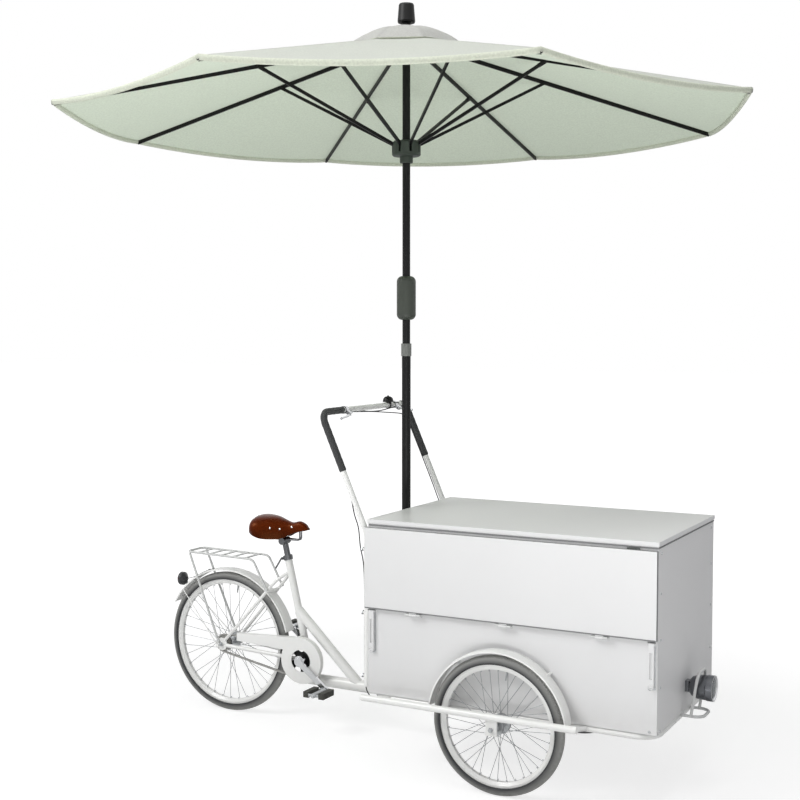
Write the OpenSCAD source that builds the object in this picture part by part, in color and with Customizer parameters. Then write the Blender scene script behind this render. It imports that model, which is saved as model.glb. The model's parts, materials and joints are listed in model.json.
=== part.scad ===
// Bicycle food cart: a tricycle with a serving box between two front wheels and a folding parasol
// above it. X points to the front of the cart, Y to its left side and Z up. The origin is on the
// ground under the parasol mast. All sizes are millimetres.

/* [Wheels] */
// Outer radius of the front tyres
front_wheel_r = 253; // [245:1:260]
// Outer radius of the rear tyre
rear_wheel_r = 303.5; // [295:0.5:308]
// Distance of each front wheel from the side of the lid
half_track = 45; // [41:1:49]
// Distance from the mast forward to the front axle
front_axle_x = 584; // [560:1:610]
// Distance from the mast back to the rear axle
rear_axle_back = 866; // [855:1:890]
// Width of the tyres
tyre_w = 44; // [38:1:46]
// Height of a tyre above its rim
tyre_h = 31; // [27:1:34]
// Radial height of the rims
rim_h = 20; // [14:1:24]
// Width of the rims
rim_w = 30; // [24:1:34]
// Spokes in each wheel
spoke_n = 36; // [20:4:36]
// Thickness of a spoke
spoke_d = 2; // [1.6:0.2:2.4]
// Radius of the front axles
front_axle_r = 6; // [5:0.5:7]
// Radius of the rear axle
rear_axle_r = 5; // [4:0.5:6]
// Radius of the front brake drums
drum_r = 36; // [34:1:42]

/* [Cargo box] */
// Distance from the mast to the rear edge of the lid
box_x0 = 23; // [22:0.5:26]
// Length of the lid
box_l = 1129; // [1080:1:1180]
// Width of the lid
box_w = 718; // [700:1:726]
// Height of the underside of the box
box_z0 = 285; // [282:1:290]
// Height of the top of the lid
lid_top = 948; // [900:1:990]
// Height of the lid's rim
lid_t = 15; // [14:1:20]
// How far the lid stands out over the walls
lid_over = 3; // [2:0.5:5]
// Thickness of the wall sheets and of the lid's sheet
sheet_t = 3; // [2:0.5:4]
// Side of the square frame tubes
post_w = 25; // [20:1:30]
// Thickness of the floor board
floor_t = 10; // [8:1:15]

/* [Serving flap] */
// Thickness of the flap
flap_t = 16; // [14:1:18]
// Height of the bottom edge of the flap
flap_z0 = 612; // [600:1:640]
// Gap between the top of the flap and the lid
flap_head = 15; // [5:1:20]
// Length of the folding arms
arm_l = 150; // [120:1:170]
// Width of the folding arms
arm_w = 20; // [16:1:24]

/* [Chassis] */
// Radius of the chassis tubes
hoop_r = 12.5; // [11:0.5:13]
// Radius of the chassis corners
hoop_bend = 70; // [50:1:90]
// Distance of the side rails from the side of the lid
rail_y = 111; // [107:1:117]
// Height of the side rails
rail_z = 300; // [296:1:306]
// Rear end of the side rails
rail_x0 = 60; // [40:1:80]
// Front end of the side rails
rail_x1 = 905; // [890:1:920]
// Distance from the mast to the steering pivot
steer_x = 500; // [470:1:530]
// Radius of the steering pin
king_r = 15; // [12:1:18]

/* [Push bar] */
// Radius of the bar
bar_r = 11.5; // [11:0.5:12]
// Distance of the legs inside the side of the lid
bar_y = 14; // [14:1:21]
// Height of the crossbar
bar_z = 1343; // [1320:1:1370]
// Distance of the crossbar behind the mast
bar_back = 188; // [170:1:210]
// Height at which the legs lean back
bar_knee_z = 890; // [880:1:900]
// Thickness of the foam grips
grip_t = 2.5; // [2:0.5:3]
// Height of the lower ends of the grips
grip_z0 = 1121; // [1100:1:1150]
// Length of the right grip along the crossbar
grip_right = 164; // [140:1:180]
// Length of the left grip along the crossbar
grip_left = 46; // [40:1:60]
// Radius of a brake cable
cable_r = 2.2; // [1.8:0.1:2.4]

/* [Mast and parasol] */
// Radius of the upper mast tube
mast_r = 15.5; // [15:0.5:17]
// Wall of the mast tubes
mast_wall = 2; // [2:0.1:3]
// Height of the top of the lower mast tube
mast_joint_z = 1604; // [1580:1:1620]
// Place of the grey grip on the way up to the runner
knob_at = 0.1744; // [0.1744:0.01:0.2144]
// Length of the grey grip
knob_h = 174; // [160:1:180]
// Radius of the grey grip
knob_r = 38; // [32:0.5:42]
// Height of the rib pivots
crown_z = 2792; // [2780:1:2800]
// Distance of the rib pivots from the mast axis
crown_pin_r = 38; // [36:1:40]
// Radius of the canopy at its eight tips
canopy_r = 1357; // [1300:1:1400]
// Drop of the canopy's tips below the rib pivots
canopy_tip_z = 295; // [272:1:322]
// Number of ribs
rib_n = 8; // [8]
// Width of the ribs
rib_w = 8; // [6:1:9]
// Height of the ribs
rib_h = 15; // [12:1:16]
// Distance along a rib from its pivot to its stretcher
strut_at = 568; // [540:1:580]
// Drop of the runner below the rib pivots
runner_top = 388; // [377:1:397]
// Radius of the runner
runner_r = 57; // [54:1:60]
// Radius of the vent cap
vent_r = 238; // [220:1:260]
// Height of the vent cap above the rib pivots
vent_top = 46; // [40:1:58]
// Sag of the cloth between the ribs
canopy_sag = 26; // [6:1:32]

/* [Rear bicycle] */
// Distance of the crank axle behind the mast
crank_back = 466; // [460:1:470]
// Height of the crank axle
crank_z = 277; // [274:1:280]
// Length of the cranks
crank_l = 165; // [150:1:170]
// Downward slope of the right crank
crank_slope = 38; // [0:1:80]
// Lean of the seat tube from upright
seat_lean = 13.4; // [12:0.1:15]
// Height of the top of the seat tube
seat_tube_z = 706; // [690:1:715]
// Radius of the seat tube
seat_tube_r = 16; // [15:0.5:17]
// Radius of the seat post
seat_post_r = 12.7; // [12:0.1:13]
// Radius of the down tube
down_r = 21; // [18:0.5:22]
// Radius of the beam under the box
beam_r = 24; // [20:0.5:25]
// Height of the beam
beam_z = 190; // [186:1:194]
// Teeth of the chainring
ring_teeth = 40; // [36:1:42]
// Teeth of the rear sprocket
cog_teeth = 18; // [16:1:20]
// Length of the saddle
saddle_l = 254; // [246:1:262]
// Width of the saddle
saddle_w = 186; // [170:1:200]
// Height of the back of the saddle
saddle_top = 872; // [860:1:880]
// Height of the luggage rack
rack_z = 684; // [676:1:692]
// Distance of the rack's tubes from the centre line
rack_y = 60; // [58:1:64]

/* [Hidden] */
$fn = 48;

// Clearances and small stock sizes
run_fit = 0.05;
gap = 0.3;
sheet_gap = 2;
pin_r = 2.5;
chain_pitch = 12.7;
roller_r = 3.8;
bend_swell = 0.15;
bend_lap = 1;
perch_w = 18;
perch_tilt = 30;

// Places from the lid's sides and the rib pivots
wheel_y = box_w / 2 + half_track;
rail_side = box_w / 2 + rail_y;
leg_y = box_w / 2 - bar_y;
tip_z = crown_z - canopy_tip_z;
runner_z1 = crown_z - runner_top;
vent_z = crown_z + vent_top;
perch_right_y = -(leg_y - grip_right) + perch_w / 2 + 4;
perch_left_y = leg_y - grip_left - 48 - perch_w / 2;

// Cargo box
box_x1 = box_x0 + box_l;
body_x0 = box_x0 + lid_over;
body_x1 = box_x1 - lid_over;
body_y = box_w / 2 - lid_over;
lid_z0 = lid_top - lid_t;
wall_top = lid_z0 - gap;
lid_rim_w = 22;
frame_x0 = body_x0 + sheet_t;
frame_x1 = body_x1 - sheet_t;
frame_y = body_y - sheet_t;

// Lid hinge, along the left edge of the lid
knuckle_r = 5;
lid_pin = [box_w / 2 + gap + knuckle_r, lid_z0];
lid_knuckle_l = 36;
lid_hinges = [box_x0 + box_l * 0.2, box_x0 + box_l * 0.5, box_x0 + box_l * 0.8];

// Serving flap, its hinge and its two folding arms
flap_y1 = -body_y - sheet_gap;
flap_y0 = flap_y1 - flap_t;
flap_z1 = lid_z0 - flap_head;
flap_x0 = box_x0 - 3;
flap_x1 = body_x1;
flap_knuckle_r = 4.4;
flap_pin = [flap_y0 - 3, flap_z0 - 6];
flap_knuckle_l = 30;
flap_hinges = [box_x0 + box_l * 0.18, box_x0 + box_l * 0.5, box_x0 + box_l * 0.82];
arm_t = 10;
arm_pin = [-body_y - sheet_gap - 1 - arm_t / 2, flap_z0 - 11];
arm_lug_t = 3;
arm_inset = 19;
arm_xs = [body_x0 + arm_inset, body_x1 - arm_inset];
arm_ring_r = 8;

// Chassis
hoop_z = box_z0 - hoop_r;
hoop_y = body_y - hoop_r;
cross_r = 8.5;
cross_xs = [body_x0 + hoop_r + hoop_bend + 4, rail_x1 - cross_r];
head_r = 30;
turn_plate = [220, 130, 8];
turn_z0 = beam_z + beam_r + 2;
turn_t = 8;
head_z0 = turn_z0 + turn_t + gap;
king_top = hoop_z + hoop_r - 4;
socket_r = body_x0 - 1;
socket_floor = hoop_z - 2;

// Front hubs, with the outer side along +Z of their own axis
plate_t = 6;
outer_plate_y = rail_side - hoop_r + 3;
inner_plate_y = body_y + plate_t;
hub_out = outer_plate_y - wheel_y - 9;
hub_in = wheel_y - inner_plate_y - 10;
hub_flange_r = 32;
front_flange_z = 25;
backing_t = 5;
front_drop = 22;

// Mast
mast_lower_r = mast_r + run_fit + mast_wall;
mast_foot = socket_floor + gap;
mast_collar_h = 50;
mast_collar_r = mast_lower_r + 3;
mast_upper_z0 = 1000;
mast_top = crown_z + 18;

// Parasol linkage
rib_tip_r = canopy_r - 10;
rib_lift = rib_h / 2 + 1.2;
cloth_t = 3;
rib_tip_z = tip_z - cloth_t - rib_lift;
rib_slope = atan((crown_z - rib_tip_z) / (rib_tip_r - crown_pin_r));
rib_l = (rib_tip_r - crown_pin_r) / cos(rib_slope);
crown_r = 48;
runner_h = 60;
runner_neck = 27;
runner_z0 = runner_z1 - runner_h;
knob_z0 = mast_joint_z + knob_at * (runner_z0 - runner_neck - knob_h - mast_joint_z);
strut_in = [crown_pin_r + 8, runner_z1 - 18];
strut_out = [crown_pin_r + strut_at * cos(rib_slope), crown_z - strut_at * sin(rib_slope)];
strut_l = norm(strut_out - strut_in);
strut_rise = atan2(strut_out[1] - strut_in[1], strut_out[0] - strut_in[0]);
strut_h = 12;
cheek_t = 3;
vent_hole_r = 150;
vent_lift = 30;
finial_z0 = crown_z + 76;
finial_h = 70;

// Rear bicycle
rear_axle = [-rear_axle_back, 0, rear_wheel_r];
crank = [-crank_back, 0, crank_z];
seat_dir = [-sin(seat_lean), 0, cos(seat_lean)];
function on_seat_tube(z) = crank + seat_dir * (z - crank_z) / seat_dir[2];
drop_y = 60;
drop_t = 6;
chain_y = -46;
chain_w = 8;
ring_r = chain_pitch / (2 * sin(180 / ring_teeth));
cog_r = chain_pitch / (2 * sin(180 / cog_teeth));
case_y = -62;
case_depth = 24;
case_t = 2;
case_r = ring_r + 16;
case_hole_r = 46;
spindle_r = 8;
crank_y = 75;
crank_t = 13;
pedal_pin_r = 5;
pedal_w = 96;
pedal_l = 92;
pedal_t = 24;
fender_t = 2.5;
rear_fender_r = rear_wheel_r + 15;
rear_fender_w = 58;
front_fender_r = front_wheel_r + 17;
front_fender_w = 56;
stay_r = 7;
down_drop = 231;
stay_drop = 66;
stay_fwd = 266;
stay_up = 296;
rack_back = 187;
rack_fwd = 160;
rear_flange_z = 29;
stay_knee = [rear_axle[0] + stay_fwd, 44, rear_wheel_r + stay_up];
rack_r = 5;
rack_x0 = rear_axle[0] - rack_back;
rack_x1 = rear_axle[0] + rack_fwd;
post_top = on_seat_tube(saddle_top - 106);
post_l = 290;
nose_x = post_top[0] + 118;
saddle_rail_r = 3.5;

// Brake cable routes: each crosses to the other leg of the push bar, runs down behind it and under
// the box to a drum brake. leg_at gives a point beside a leg, a share of the way down its slope.
bar_x = body_x0 - bar_r - gap;
function leg_at(share, side, back) = [
    -bar_back + share * (bar_x + bar_back) - 0.91 * back, side * (leg_y - bar_r - grip_t - cable_r - 1),
    bar_z - share * (bar_z - bar_knee_z) - 0.4 * back
];
function cable_low(side, hang) = [
    leg_at(0.12, side, 8), leg_at(0.3, side, 8), leg_at(0.5, side, 8 + 2 * hang),
    leg_at(0.68, side, 8 + 10 * hang), leg_at(0.82, side, 10 + 22 * hang),
    [bar_x - 22 - 26 * hang, side * (leg_y - 19), bar_knee_z + 16],
    [bar_x - 22 - 18 * hang, side * (leg_y - 20), bar_knee_z - 56],
    [bar_x - 22 - 4 * hang, side * (leg_y - 20), bar_knee_z - 126],
    [bar_x - 22, side * (leg_y - 20), bar_knee_z - 250], [bar_x - 22, side * (leg_y - 20), box_z0 + 145],
    [bar_x - 20, side * (leg_y - 22), box_z0 + 35], [bar_x - 12, side * (leg_y - 26), box_z0 - 13],
    [bar_x + 18, side * (leg_y - 30), box_z0 - 35], [body_x0 + 64, side * (leg_y - 32), box_z0 - 39],
    [front_axle_x - 204, side * (leg_y - 24), box_z0 - 39],
    [front_axle_x - 110, side * (body_y - 20), front_wheel_r - 6],
    [front_axle_x - 64, side * (body_y + 1), front_wheel_r - 3],
    [front_axle_x - drum_r + 0.6, side * (wheel_y - hub_in - gap - backing_t / 2), front_wheel_r]
];
function on_bar(points) = [for (p = points) [p[0] - bar_back, p[1], p[2] + bar_z]];
cable_left = concat(on_bar([
    [22, perch_right_y + perch_w / 2 + gap, -7], [28, -130, -9], [32, -90, -11], [34, -30, -14],
    [35, 40, -19], [34, 120, -26], [32, 200, -33], [30, 260, -41], [30, 300, -58]
]), cable_low(1, 0));
cable_right = concat(on_bar([
    [22, perch_left_y - perch_w / 2 - gap, -7], [20, 205, -9], [14, 160, -14], [6, 110, -19], [-4, 50, -19],
    [-15, -10, -13], [-20, -70, -5], [-20, -160, -2], [-20, -240, -3], [-17, -290, -10], [-10, -314, -28]
]), cable_low(-1, 1));

// Vector helpers
function unit(v) = v / norm(v);
function flip_y(p) = [p[0], -p[1], p[2]];

// Round bar between two points
module rod(a, b, r) {
    d = b - a;
    translate(a)
        rotate([0, acos(d[2] / norm(d)), atan2(d[1], d[0])])
            cylinder(r = r, h = norm(d));
}

// Length that a bend of radius bend_r takes off each straight at corner b
function bend_trim(a, b, c, bend_r) =
    bend_r * tan((180 - acos(unit(a - b) * unit(c - b))) / 2);

// Elbow of a round tube at corner b
module elbow(a, b, c, bend_r, r) {
    u = unit(a - b);
    v = unit(c - b);
    turn = 180 - acos(u * v);
    start = b + u * bend_r * tan(turn / 2);
    centre = b + unit(u + v) * bend_r / cos(turn / 2);
    ex = unit(start - centre);
    ez = unit(cross(ex, -u));
    ey = cross(ez, ex);
    multmatrix([
        [ex[0], ey[0], ez[0], centre[0]],
        [ex[1], ey[1], ez[1], centre[1]],
        [ex[2], ey[2], ez[2], centre[2]],
        [0, 0, 0, 1]
    ])
        rotate_extrude(angle = turn)
            translate([bend_r, 0])
                circle(r = r);
}

// Bent tube through a list of points, with one bend radius for each inner point; the bends swell a
// little and the straights run a short way into them
module bent_tube(points, bends, r) {
    last = len(points) - 1;
    trims = [for (i = [0:last])
        i == 0 || i == last ? 0
            : bend_trim(points[i - 1], points[i], points[i + 1], bends[i - 1]) - bend_lap];
    for (i = [0:last - 1]) {
        way = unit(points[i + 1] - points[i]);
        rod(points[i] + way * trims[i], points[i + 1] - way * trims[i + 1], r - bend_swell);
    }
    for (i = [1:last - 1])
        elbow(points[i - 1], points[i], points[i + 1], bends[i - 1], r);
}

// Both sides of the cart
module both_sides() {
    children();
    mirror([0, 1, 0]) children();
}

// Turns a part made about the Z axis to lie along Y, with its top to the right side of the cart
module across(at) {
    translate(at) rotate([90, 0, 0]) children();
}

// Closed skin over rings of points that all have the same count
module skin(rings) {
    n = len(rings[0]);
    m = len(rings);
    points = [for (ring = rings) each ring];
    sides = [for (i = [0:m - 2], j = [0:n - 1])
        let (a = i * n + j, b = i * n + (j + 1) % n)
            each [[a, b, b + n], [a, b + n, a + n]]];
    first = [for (j = [1:n - 2]) [0, j + 1, j]];
    last = [for (j = [1:n - 2]) [(m - 1) * n, (m - 1) * n + j, (m - 1) * n + j + 1]];
    polyhedron(points = points, faces = concat(sides, first, last));
}

// Ring of points around a route at point i, square to the way the route runs there
function ring_at(route, i, r, sides) =
    let (
        before = route[max(i - 1, 0)],
        after = route[min(i + 1, len(route) - 1)],
        way = unit(after - before),
        side = unit(cross(way, abs(way[2]) > 0.9 ? [1, 0, 0] : [0, 0, 1])),
        up = cross(side, way)
    )
    [for (k = [0:sides - 1])
        route[i] + r * (cos(-360 * k / sides) * side + sin(-360 * k / sides) * up)];

// Cable of eight sides along a route
module cable(route) {
    skin([for (i = [0:len(route) - 1]) ring_at(route, i, cable_r, 8)]);
}

// Tyre with three tread grooves, about the Z axis
module tyre(wheel_r) {
    groove_w = 3;
    groove_d = 2.5;
    rotate_extrude($fn = 96)
        difference() {
            translate([wheel_r - tyre_w / 2, 0]) circle(d = tyre_w);
            translate([0, -tyre_w]) square([wheel_r - tyre_h + gap / 2, 2 * tyre_w]);
            for (y = [-9, 0, 9])
                translate([wheel_r - groove_d - y * y / tyre_w, y - groove_w / 2])
                    square([2 * groove_d, groove_w]);
        }
}

// Rim with sloped flanks, about the Z axis
module rim(wheel_r) {
    rim_r = wheel_r - tyre_h;
    flank = 8;
    rotate_extrude($fn = 96)
        polygon([
            [rim_r - rim_h, -rim_w / 4], [rim_r - flank, -rim_w / 2], [rim_r, -rim_w / 2],
            [rim_r, rim_w / 2], [rim_r - flank, rim_w / 2], [rim_r - rim_h, rim_w / 4]
        ]);
}

// Crossed spokes between hub flanges and rim; slant is the turn of each spoke
module spokes(wheel_r, flange_z, flange_r) {
    rim_in = wheel_r - tyre_h - rim_h + 3;
    slant = 58;
    pairs = spoke_n / 4;
    lace = 2.6;
    for (side = [-1, 1], k = [0:pairs - 1], lean = [-1, 1]) {
        at_rim = 360 * (k + (lean > 0 ? 0.5 : 0) + (side > 0 ? 0.25 : 0)) / pairs;
        at_hub = at_rim + lean * slant;
        rod(
            [flange_r * cos(at_hub), flange_r * sin(at_hub), side * flange_z + lean * lace],
            [rim_in * cos(at_rim), rim_in * sin(at_rim), side * rim_w / 8],
            spoke_d / 2
        );
    }
}

// Front hub with its brake drum on the inner side, about the Z axis
module front_hub() {
    bore = front_axle_r + run_fit;
    barrel = 15;
    lip = 4;
    rotate_extrude($fn = 64)
        polygon([
            [bore, hub_out], [11, hub_out], [14, front_flange_z + lip], [hub_flange_r, front_flange_z + lip],
            [hub_flange_r, front_flange_z - lip], [barrel, front_flange_z - lip - 3],
            [barrel, -front_flange_z + lip + 5], [drum_r, -front_flange_z + lip],
            [drum_r, -hub_in], [bore, -hub_in]
        ]);
}

// Rear hub with the seat of the freewheel on the chain side, about the Z axis
module rear_hub() {
    bore = rear_axle_r + run_fit;
    end_z = drop_y - 3;
    seat_r = 17;
    barrel = 16;
    flange_z = rear_flange_z;
    lip = 4;
    rotate_extrude($fn = 64)
        polygon([
            [bore, end_z], [seat_r, end_z], [seat_r, flange_z + lip], [hub_flange_r, flange_z + lip],
            [hub_flange_r, flange_z - lip], [barrel, flange_z - lip - 3],
            [barrel, -flange_z + lip + 3], [hub_flange_r, -flange_z + lip],
            [hub_flange_r, -flange_z - lip], [seat_r, -flange_z - lip],
            [seat_r - 3, -end_z], [bore, -end_z]
        ]);
}

// Wheel metal of the right front wheel
module front_wheel() {
    across([front_axle_x, -wheel_y, front_wheel_r]) {
        rim(front_wheel_r);
        front_hub();
        spokes(front_wheel_r, front_flange_z, hub_flange_r - 5);
    }
}

module front_tyre() {
    across([front_axle_x, -wheel_y, front_wheel_r]) tyre(front_wheel_r);
}

// Mudguard arc of the given width between two angles, about the Z axis
module fender(inner_r, width, from, to) {
    edge = 6;
    rotate([0, 0, from])
        rotate_extrude(angle = to - from, $fn = 96)
            polygon([
                [inner_r - edge, -width / 2], [inner_r - edge, -width / 2 + fender_t],
                [inner_r - edge / 3, -width / 2 + fender_t], [inner_r, -width / 4],
                [inner_r, width / 4], [inner_r - edge / 3, width / 2 - fender_t],
                [inner_r - edge, width / 2 - fender_t], [inner_r - edge, width / 2],
                [inner_r, width / 2], [inner_r + fender_t, width / 4],
                [inner_r + fender_t, -width / 4], [inner_r, -width / 2]
            ]);
}

// Welded front chassis: tube hoop, side rails, axle plates, steering head, mast socket
module chassis() {
    color("white")
        difference() {
            chassis_tubes();
            translate([steer_x, 0, head_z0 - 1])
                cylinder(r = king_r + run_fit, h = king_top + gap - head_z0 + 1);
            translate([0, 0, socket_floor])
                cylinder(r = mast_lower_r + run_fit, h = 60);
            both_sides()
                across([front_axle_x, -wheel_y, front_wheel_r])
                    translate([0, 0, -wheel_y])
                        cylinder(r = front_axle_r + run_fit, h = wheel_y + rail_side);
        }
}

module chassis_tubes() {
    x0 = body_x0 + hoop_r;
    x1 = body_x1 - hoop_r;
    bent_tube(
        [[x0, 0, hoop_z], [x0, hoop_y, hoop_z], [x1, hoop_y, hoop_z], [x1, -hoop_y, hoop_z],
            [x0, -hoop_y, hoop_z], [x0, 0, hoop_z]],
        [hoop_bend, hoop_bend, hoop_bend, hoop_bend], hoop_r
    );
    for (x = [steer_x - turn_plate[0] / 2 + hoop_r, steer_x + turn_plate[0] / 2 - hoop_r])
        rod([x, -hoop_y, hoop_z], [x, hoop_y, hoop_z], hoop_r);
    translate([steer_x - turn_plate[0] / 2, -turn_plate[1] / 2, hoop_z - turn_plate[2] / 2])
        cube(turn_plate);
    translate([steer_x, 0, head_z0])
        cylinder(r = head_r, h = hoop_z + hoop_r - head_z0);
    both_sides() side_rail();
    translate([0, 0, socket_floor - 8])
        cylinder(r = socket_r, h = 44);
    translate([0, -socket_r + 4, socket_floor - 8])
        cube([x0, 2 * socket_r - 8, 8]);
}

// Rail outside a front wheel, its cross tubes and the plates that hold the axle
module side_rail() {
    rod([rail_x0, -rail_side, rail_z], [rail_x1, -rail_side, rail_z], hoop_r);
    for (x = cross_xs)
        rod([x, -rail_side, rail_z], [x, -hoop_y, hoop_z], cross_r);
    drop_z = front_wheel_r - front_drop;
    translate([front_axle_x - front_drop, -outer_plate_y - plate_t, drop_z])
        cube([2 * front_drop, plate_t, rail_z - drop_z]);
    translate([front_axle_x - front_drop, -inner_plate_y, drop_z])
        cube([2 * front_drop, 2 * plate_t, box_z0 - gap - drop_z]);
}

// Two fixed axles with nuts, spacers and the backing plates of the drum brakes
module front_axles() {
    nut = 9;
    nut_h = 8;
    collar = 9;
    color("silver")
        both_sides()
            across([front_axle_x, -wheel_y, front_wheel_r]) {
                end = outer_plate_y + plate_t - wheel_y;
                start = inner_plate_y - 2 * plate_t - wheel_y;
                translate([0, 0, start])
                    cylinder(r = front_axle_r, h = end + nut_h + 3 - start);
                translate([0, 0, end]) cylinder(r = nut, h = nut_h, $fn = 6);
                translate([0, 0, hub_out + gap])
                    cylinder(r = collar, h = end - plate_t - hub_out - gap);
                translate([0, 0, -hub_in - gap - backing_t])
                    cylinder(r = drum_r - 1, h = backing_t);
                translate([0, 0, inner_plate_y - wheel_y])
                    cylinder(r = collar, h = wheel_y - inner_plate_y - hub_in - gap);
            }
}

// Square tube frame inside the walls of the box
module box_frame() {
    rail_h = wall_top - post_w;
    color("gainsboro") {
        for (x = [frame_x0, frame_x1 - post_w], y = [-frame_y, frame_y - post_w])
            translate([x, y, box_z0])
                cube([post_w, post_w, wall_top - box_z0]);
        for (z = [box_z0, rail_h]) {
            for (y = [-frame_y, frame_y - post_w])
                translate([frame_x0, y, z])
                    cube([frame_x1 - frame_x0, post_w, post_w]);
            for (x = [frame_x0, frame_x1 - post_w])
                translate([x, -frame_y, z])
                    cube([post_w, 2 * frame_y, post_w]);
        }
    }
}

// Four wall sheets and the floor board
module box_panels() {
    h = wall_top - box_z0;
    color("whitesmoke") {
        for (y = [-body_y, frame_y])
            translate([body_x0, y, box_z0]) cube([body_x1 - body_x0, sheet_t, h]);
        for (x = [body_x0, frame_x1])
            translate([x, -frame_y, box_z0]) cube([sheet_t, 2 * frame_y, h]);
        difference() {
            translate([frame_x0, -frame_y, box_z0 + post_w])
                cube([frame_x1 - frame_x0, 2 * frame_y, floor_t]);
            for (x = [frame_x0 - 1, frame_x1 - post_w], y = [-frame_y - 1, frame_y - post_w])
                translate([x, y, box_z0])
                    cube([post_w + 1, post_w + 1, 3 * post_w]);
        }
    }
}

// Mudguards of the front wheels, each held to the box by two short brackets
module front_fenders() {
    color("white")
        both_sides()
            across([front_axle_x, -wheel_y, front_wheel_r]) {
                fender(front_fender_r, front_fender_w, 8, 172);
                for (a = [48, 132])
                    rotate([0, 0, a])
                        translate([front_fender_r - 1, 0, body_y - wheel_y])
                            cylinder(r = 5, h = wheel_y - body_y);
            }
}

// Fixed halves of the hinges, plates of the arms and clamps of the mast
module box_fittings() {
    color("silver") {
        for (x = lid_hinges) translate([x, 0, 0]) lid_hinge_leaf();
        for (x = flap_hinges) translate([x, 0, 0]) flap_hinge_leaf();
        for (x = arm_xs) translate([x, 0, 0]) arm_plate();
        for (z = [box_z0 + 150, wall_top - 60]) translate([0, 0, z]) mast_clamp();
    }
}

// Fixed leaf, two knuckles and the pin of one lid hinge
module lid_hinge_leaf() {
    half = lid_knuckle_l / 2 + gap;
    leaf_t = 5;
    leaf_h = 34;
    end = half + 20;
    difference() {
        union() {
            translate([-end, body_y, lid_pin[1] - leaf_h])
                cube([2 * end, leaf_t, leaf_h - knuckle_r - 1]);
            for (x = [-end, half]) {
                translate([x, body_y, lid_pin[1] - knuckle_r - 2])
                    cube([end - half, lid_pin[0] - body_y, knuckle_r + 1.5]);
                translate([x, lid_pin[0], lid_pin[1]])
                    rotate([0, 90, 0]) cylinder(r = knuckle_r, h = end - half);
            }
        }
        translate([-end - 1, body_y - 1, lid_pin[1] - gap])
            cube([2 * end + 2, box_w / 2 + 1 + gap - body_y, lid_t]);
    }
    translate([-end, lid_pin[0], lid_pin[1]])
        rotate([0, 90, 0]) cylinder(r = pin_r, h = 2 * end);
}

// Fixed leaf, two knuckles and the pin of one flap hinge
module flap_hinge_leaf() {
    half = flap_knuckle_l / 2 + gap;
    end = half + 15;
    tab_t = 5;
    translate([-end, -body_y - sheet_gap, flap_pin[1] - 10])
        cube([2 * end, sheet_gap, 10]);
    for (x = [-end, half]) {
        translate([x, flap_pin[0], flap_pin[1] - tab_t / 2])
            cube([end - half, -body_y - flap_pin[0], tab_t]);
        translate([x, flap_pin[0], flap_pin[1]])
            rotate([0, 90, 0]) cylinder(r = flap_knuckle_r, h = end - half);
    }
    translate([-end, flap_pin[0], flap_pin[1]])
        rotate([0, 90, 0]) cylinder(r = pin_r, h = 2 * end);
}

// Wall plate of a folding arm, with two lugs and the pin between them
module arm_plate() {
    half = arm_w / 2 + gap;
    end = half + arm_lug_t;
    translate([-end, -body_y - sheet_gap, arm_pin[1] - arm_l - 8])
        cube([2 * end, sheet_gap, arm_l + 8 + arm_t / 2]);
    for (x = [-end, half]) {
        translate([x, arm_pin[0], arm_pin[1] - arm_t / 2])
            cube([arm_lug_t, -body_y - arm_pin[0], arm_t]);
        translate([x, arm_pin[0], arm_pin[1]])
            rotate([0, 90, 0]) cylinder(r = arm_t / 2, h = arm_lug_t);
    }
    translate([-end, arm_pin[0], arm_pin[1]])
        rotate([0, 90, 0]) cylinder(r = pin_r, h = 2 * end);
}

// Clamp that ties the lower mast to the rear wall
module mast_clamp() {
    h = 30;
    ring_r = mast_lower_r + 5;
    difference() {
        union() {
            cylinder(r = ring_r, h = h);
            translate([0, -ring_r, 0]) cube([body_x0, 2 * ring_r, h]);
        }
        translate([0, 0, -1]) cylinder(r = mast_lower_r + run_fit, h = h + 2);
    }
}

// Lid: sheet metal pan with a folded rim, two ribs and its hinge knuckles
module lid() {
    color("whitesmoke")
        difference() {
            union() {
                lid_pan();
                for (x = lid_hinges) translate([x, 0, 0]) lid_knuckle();
            }
            for (x = lid_hinges)
                translate([x - lid_knuckle_l, lid_pin[0], lid_pin[1]])
                    rotate([0, 90, 0]) cylinder(r = pin_r + run_fit, h = 2 * lid_knuckle_l);
        }
}

module lid_pan() {
    inner_l = box_l - 2 * lid_rim_w;
    inner_w = box_w - 2 * lid_rim_w;
    rib_t = 12;
    difference() {
        translate([box_x0, -box_w / 2, lid_z0]) cube([box_l, box_w, lid_t]);
        translate([box_x0 + lid_rim_w, -inner_w / 2, lid_z0 - 1])
            cube([inner_l, inner_w, lid_t - sheet_t + 1]);
    }
    for (x = [box_x0 + box_l / 3, box_x0 + 2 * box_l / 3])
        translate([x - rib_t / 2, -inner_w / 2, lid_z0 + sheet_t])
            cube([rib_t, inner_w, lid_t - 2 * sheet_t]);
}

// Moving leaf of a lid hinge, with its knuckle
module lid_knuckle() {
    leaf_t = 2;
    half = lid_knuckle_l / 2;
    translate([-half, lid_pin[0], lid_pin[1]])
        rotate([0, 90, 0]) cylinder(r = knuckle_r, h = lid_knuckle_l);
    translate([-half, box_w / 2, lid_pin[1]])
        cube([lid_knuckle_l, lid_pin[0] - box_w / 2, knuckle_r]);
    translate([-half, box_w / 2, lid_pin[1] + gap])
        cube([lid_knuckle_l, leaf_t, lid_t - 2 * gap]);
}

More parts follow.
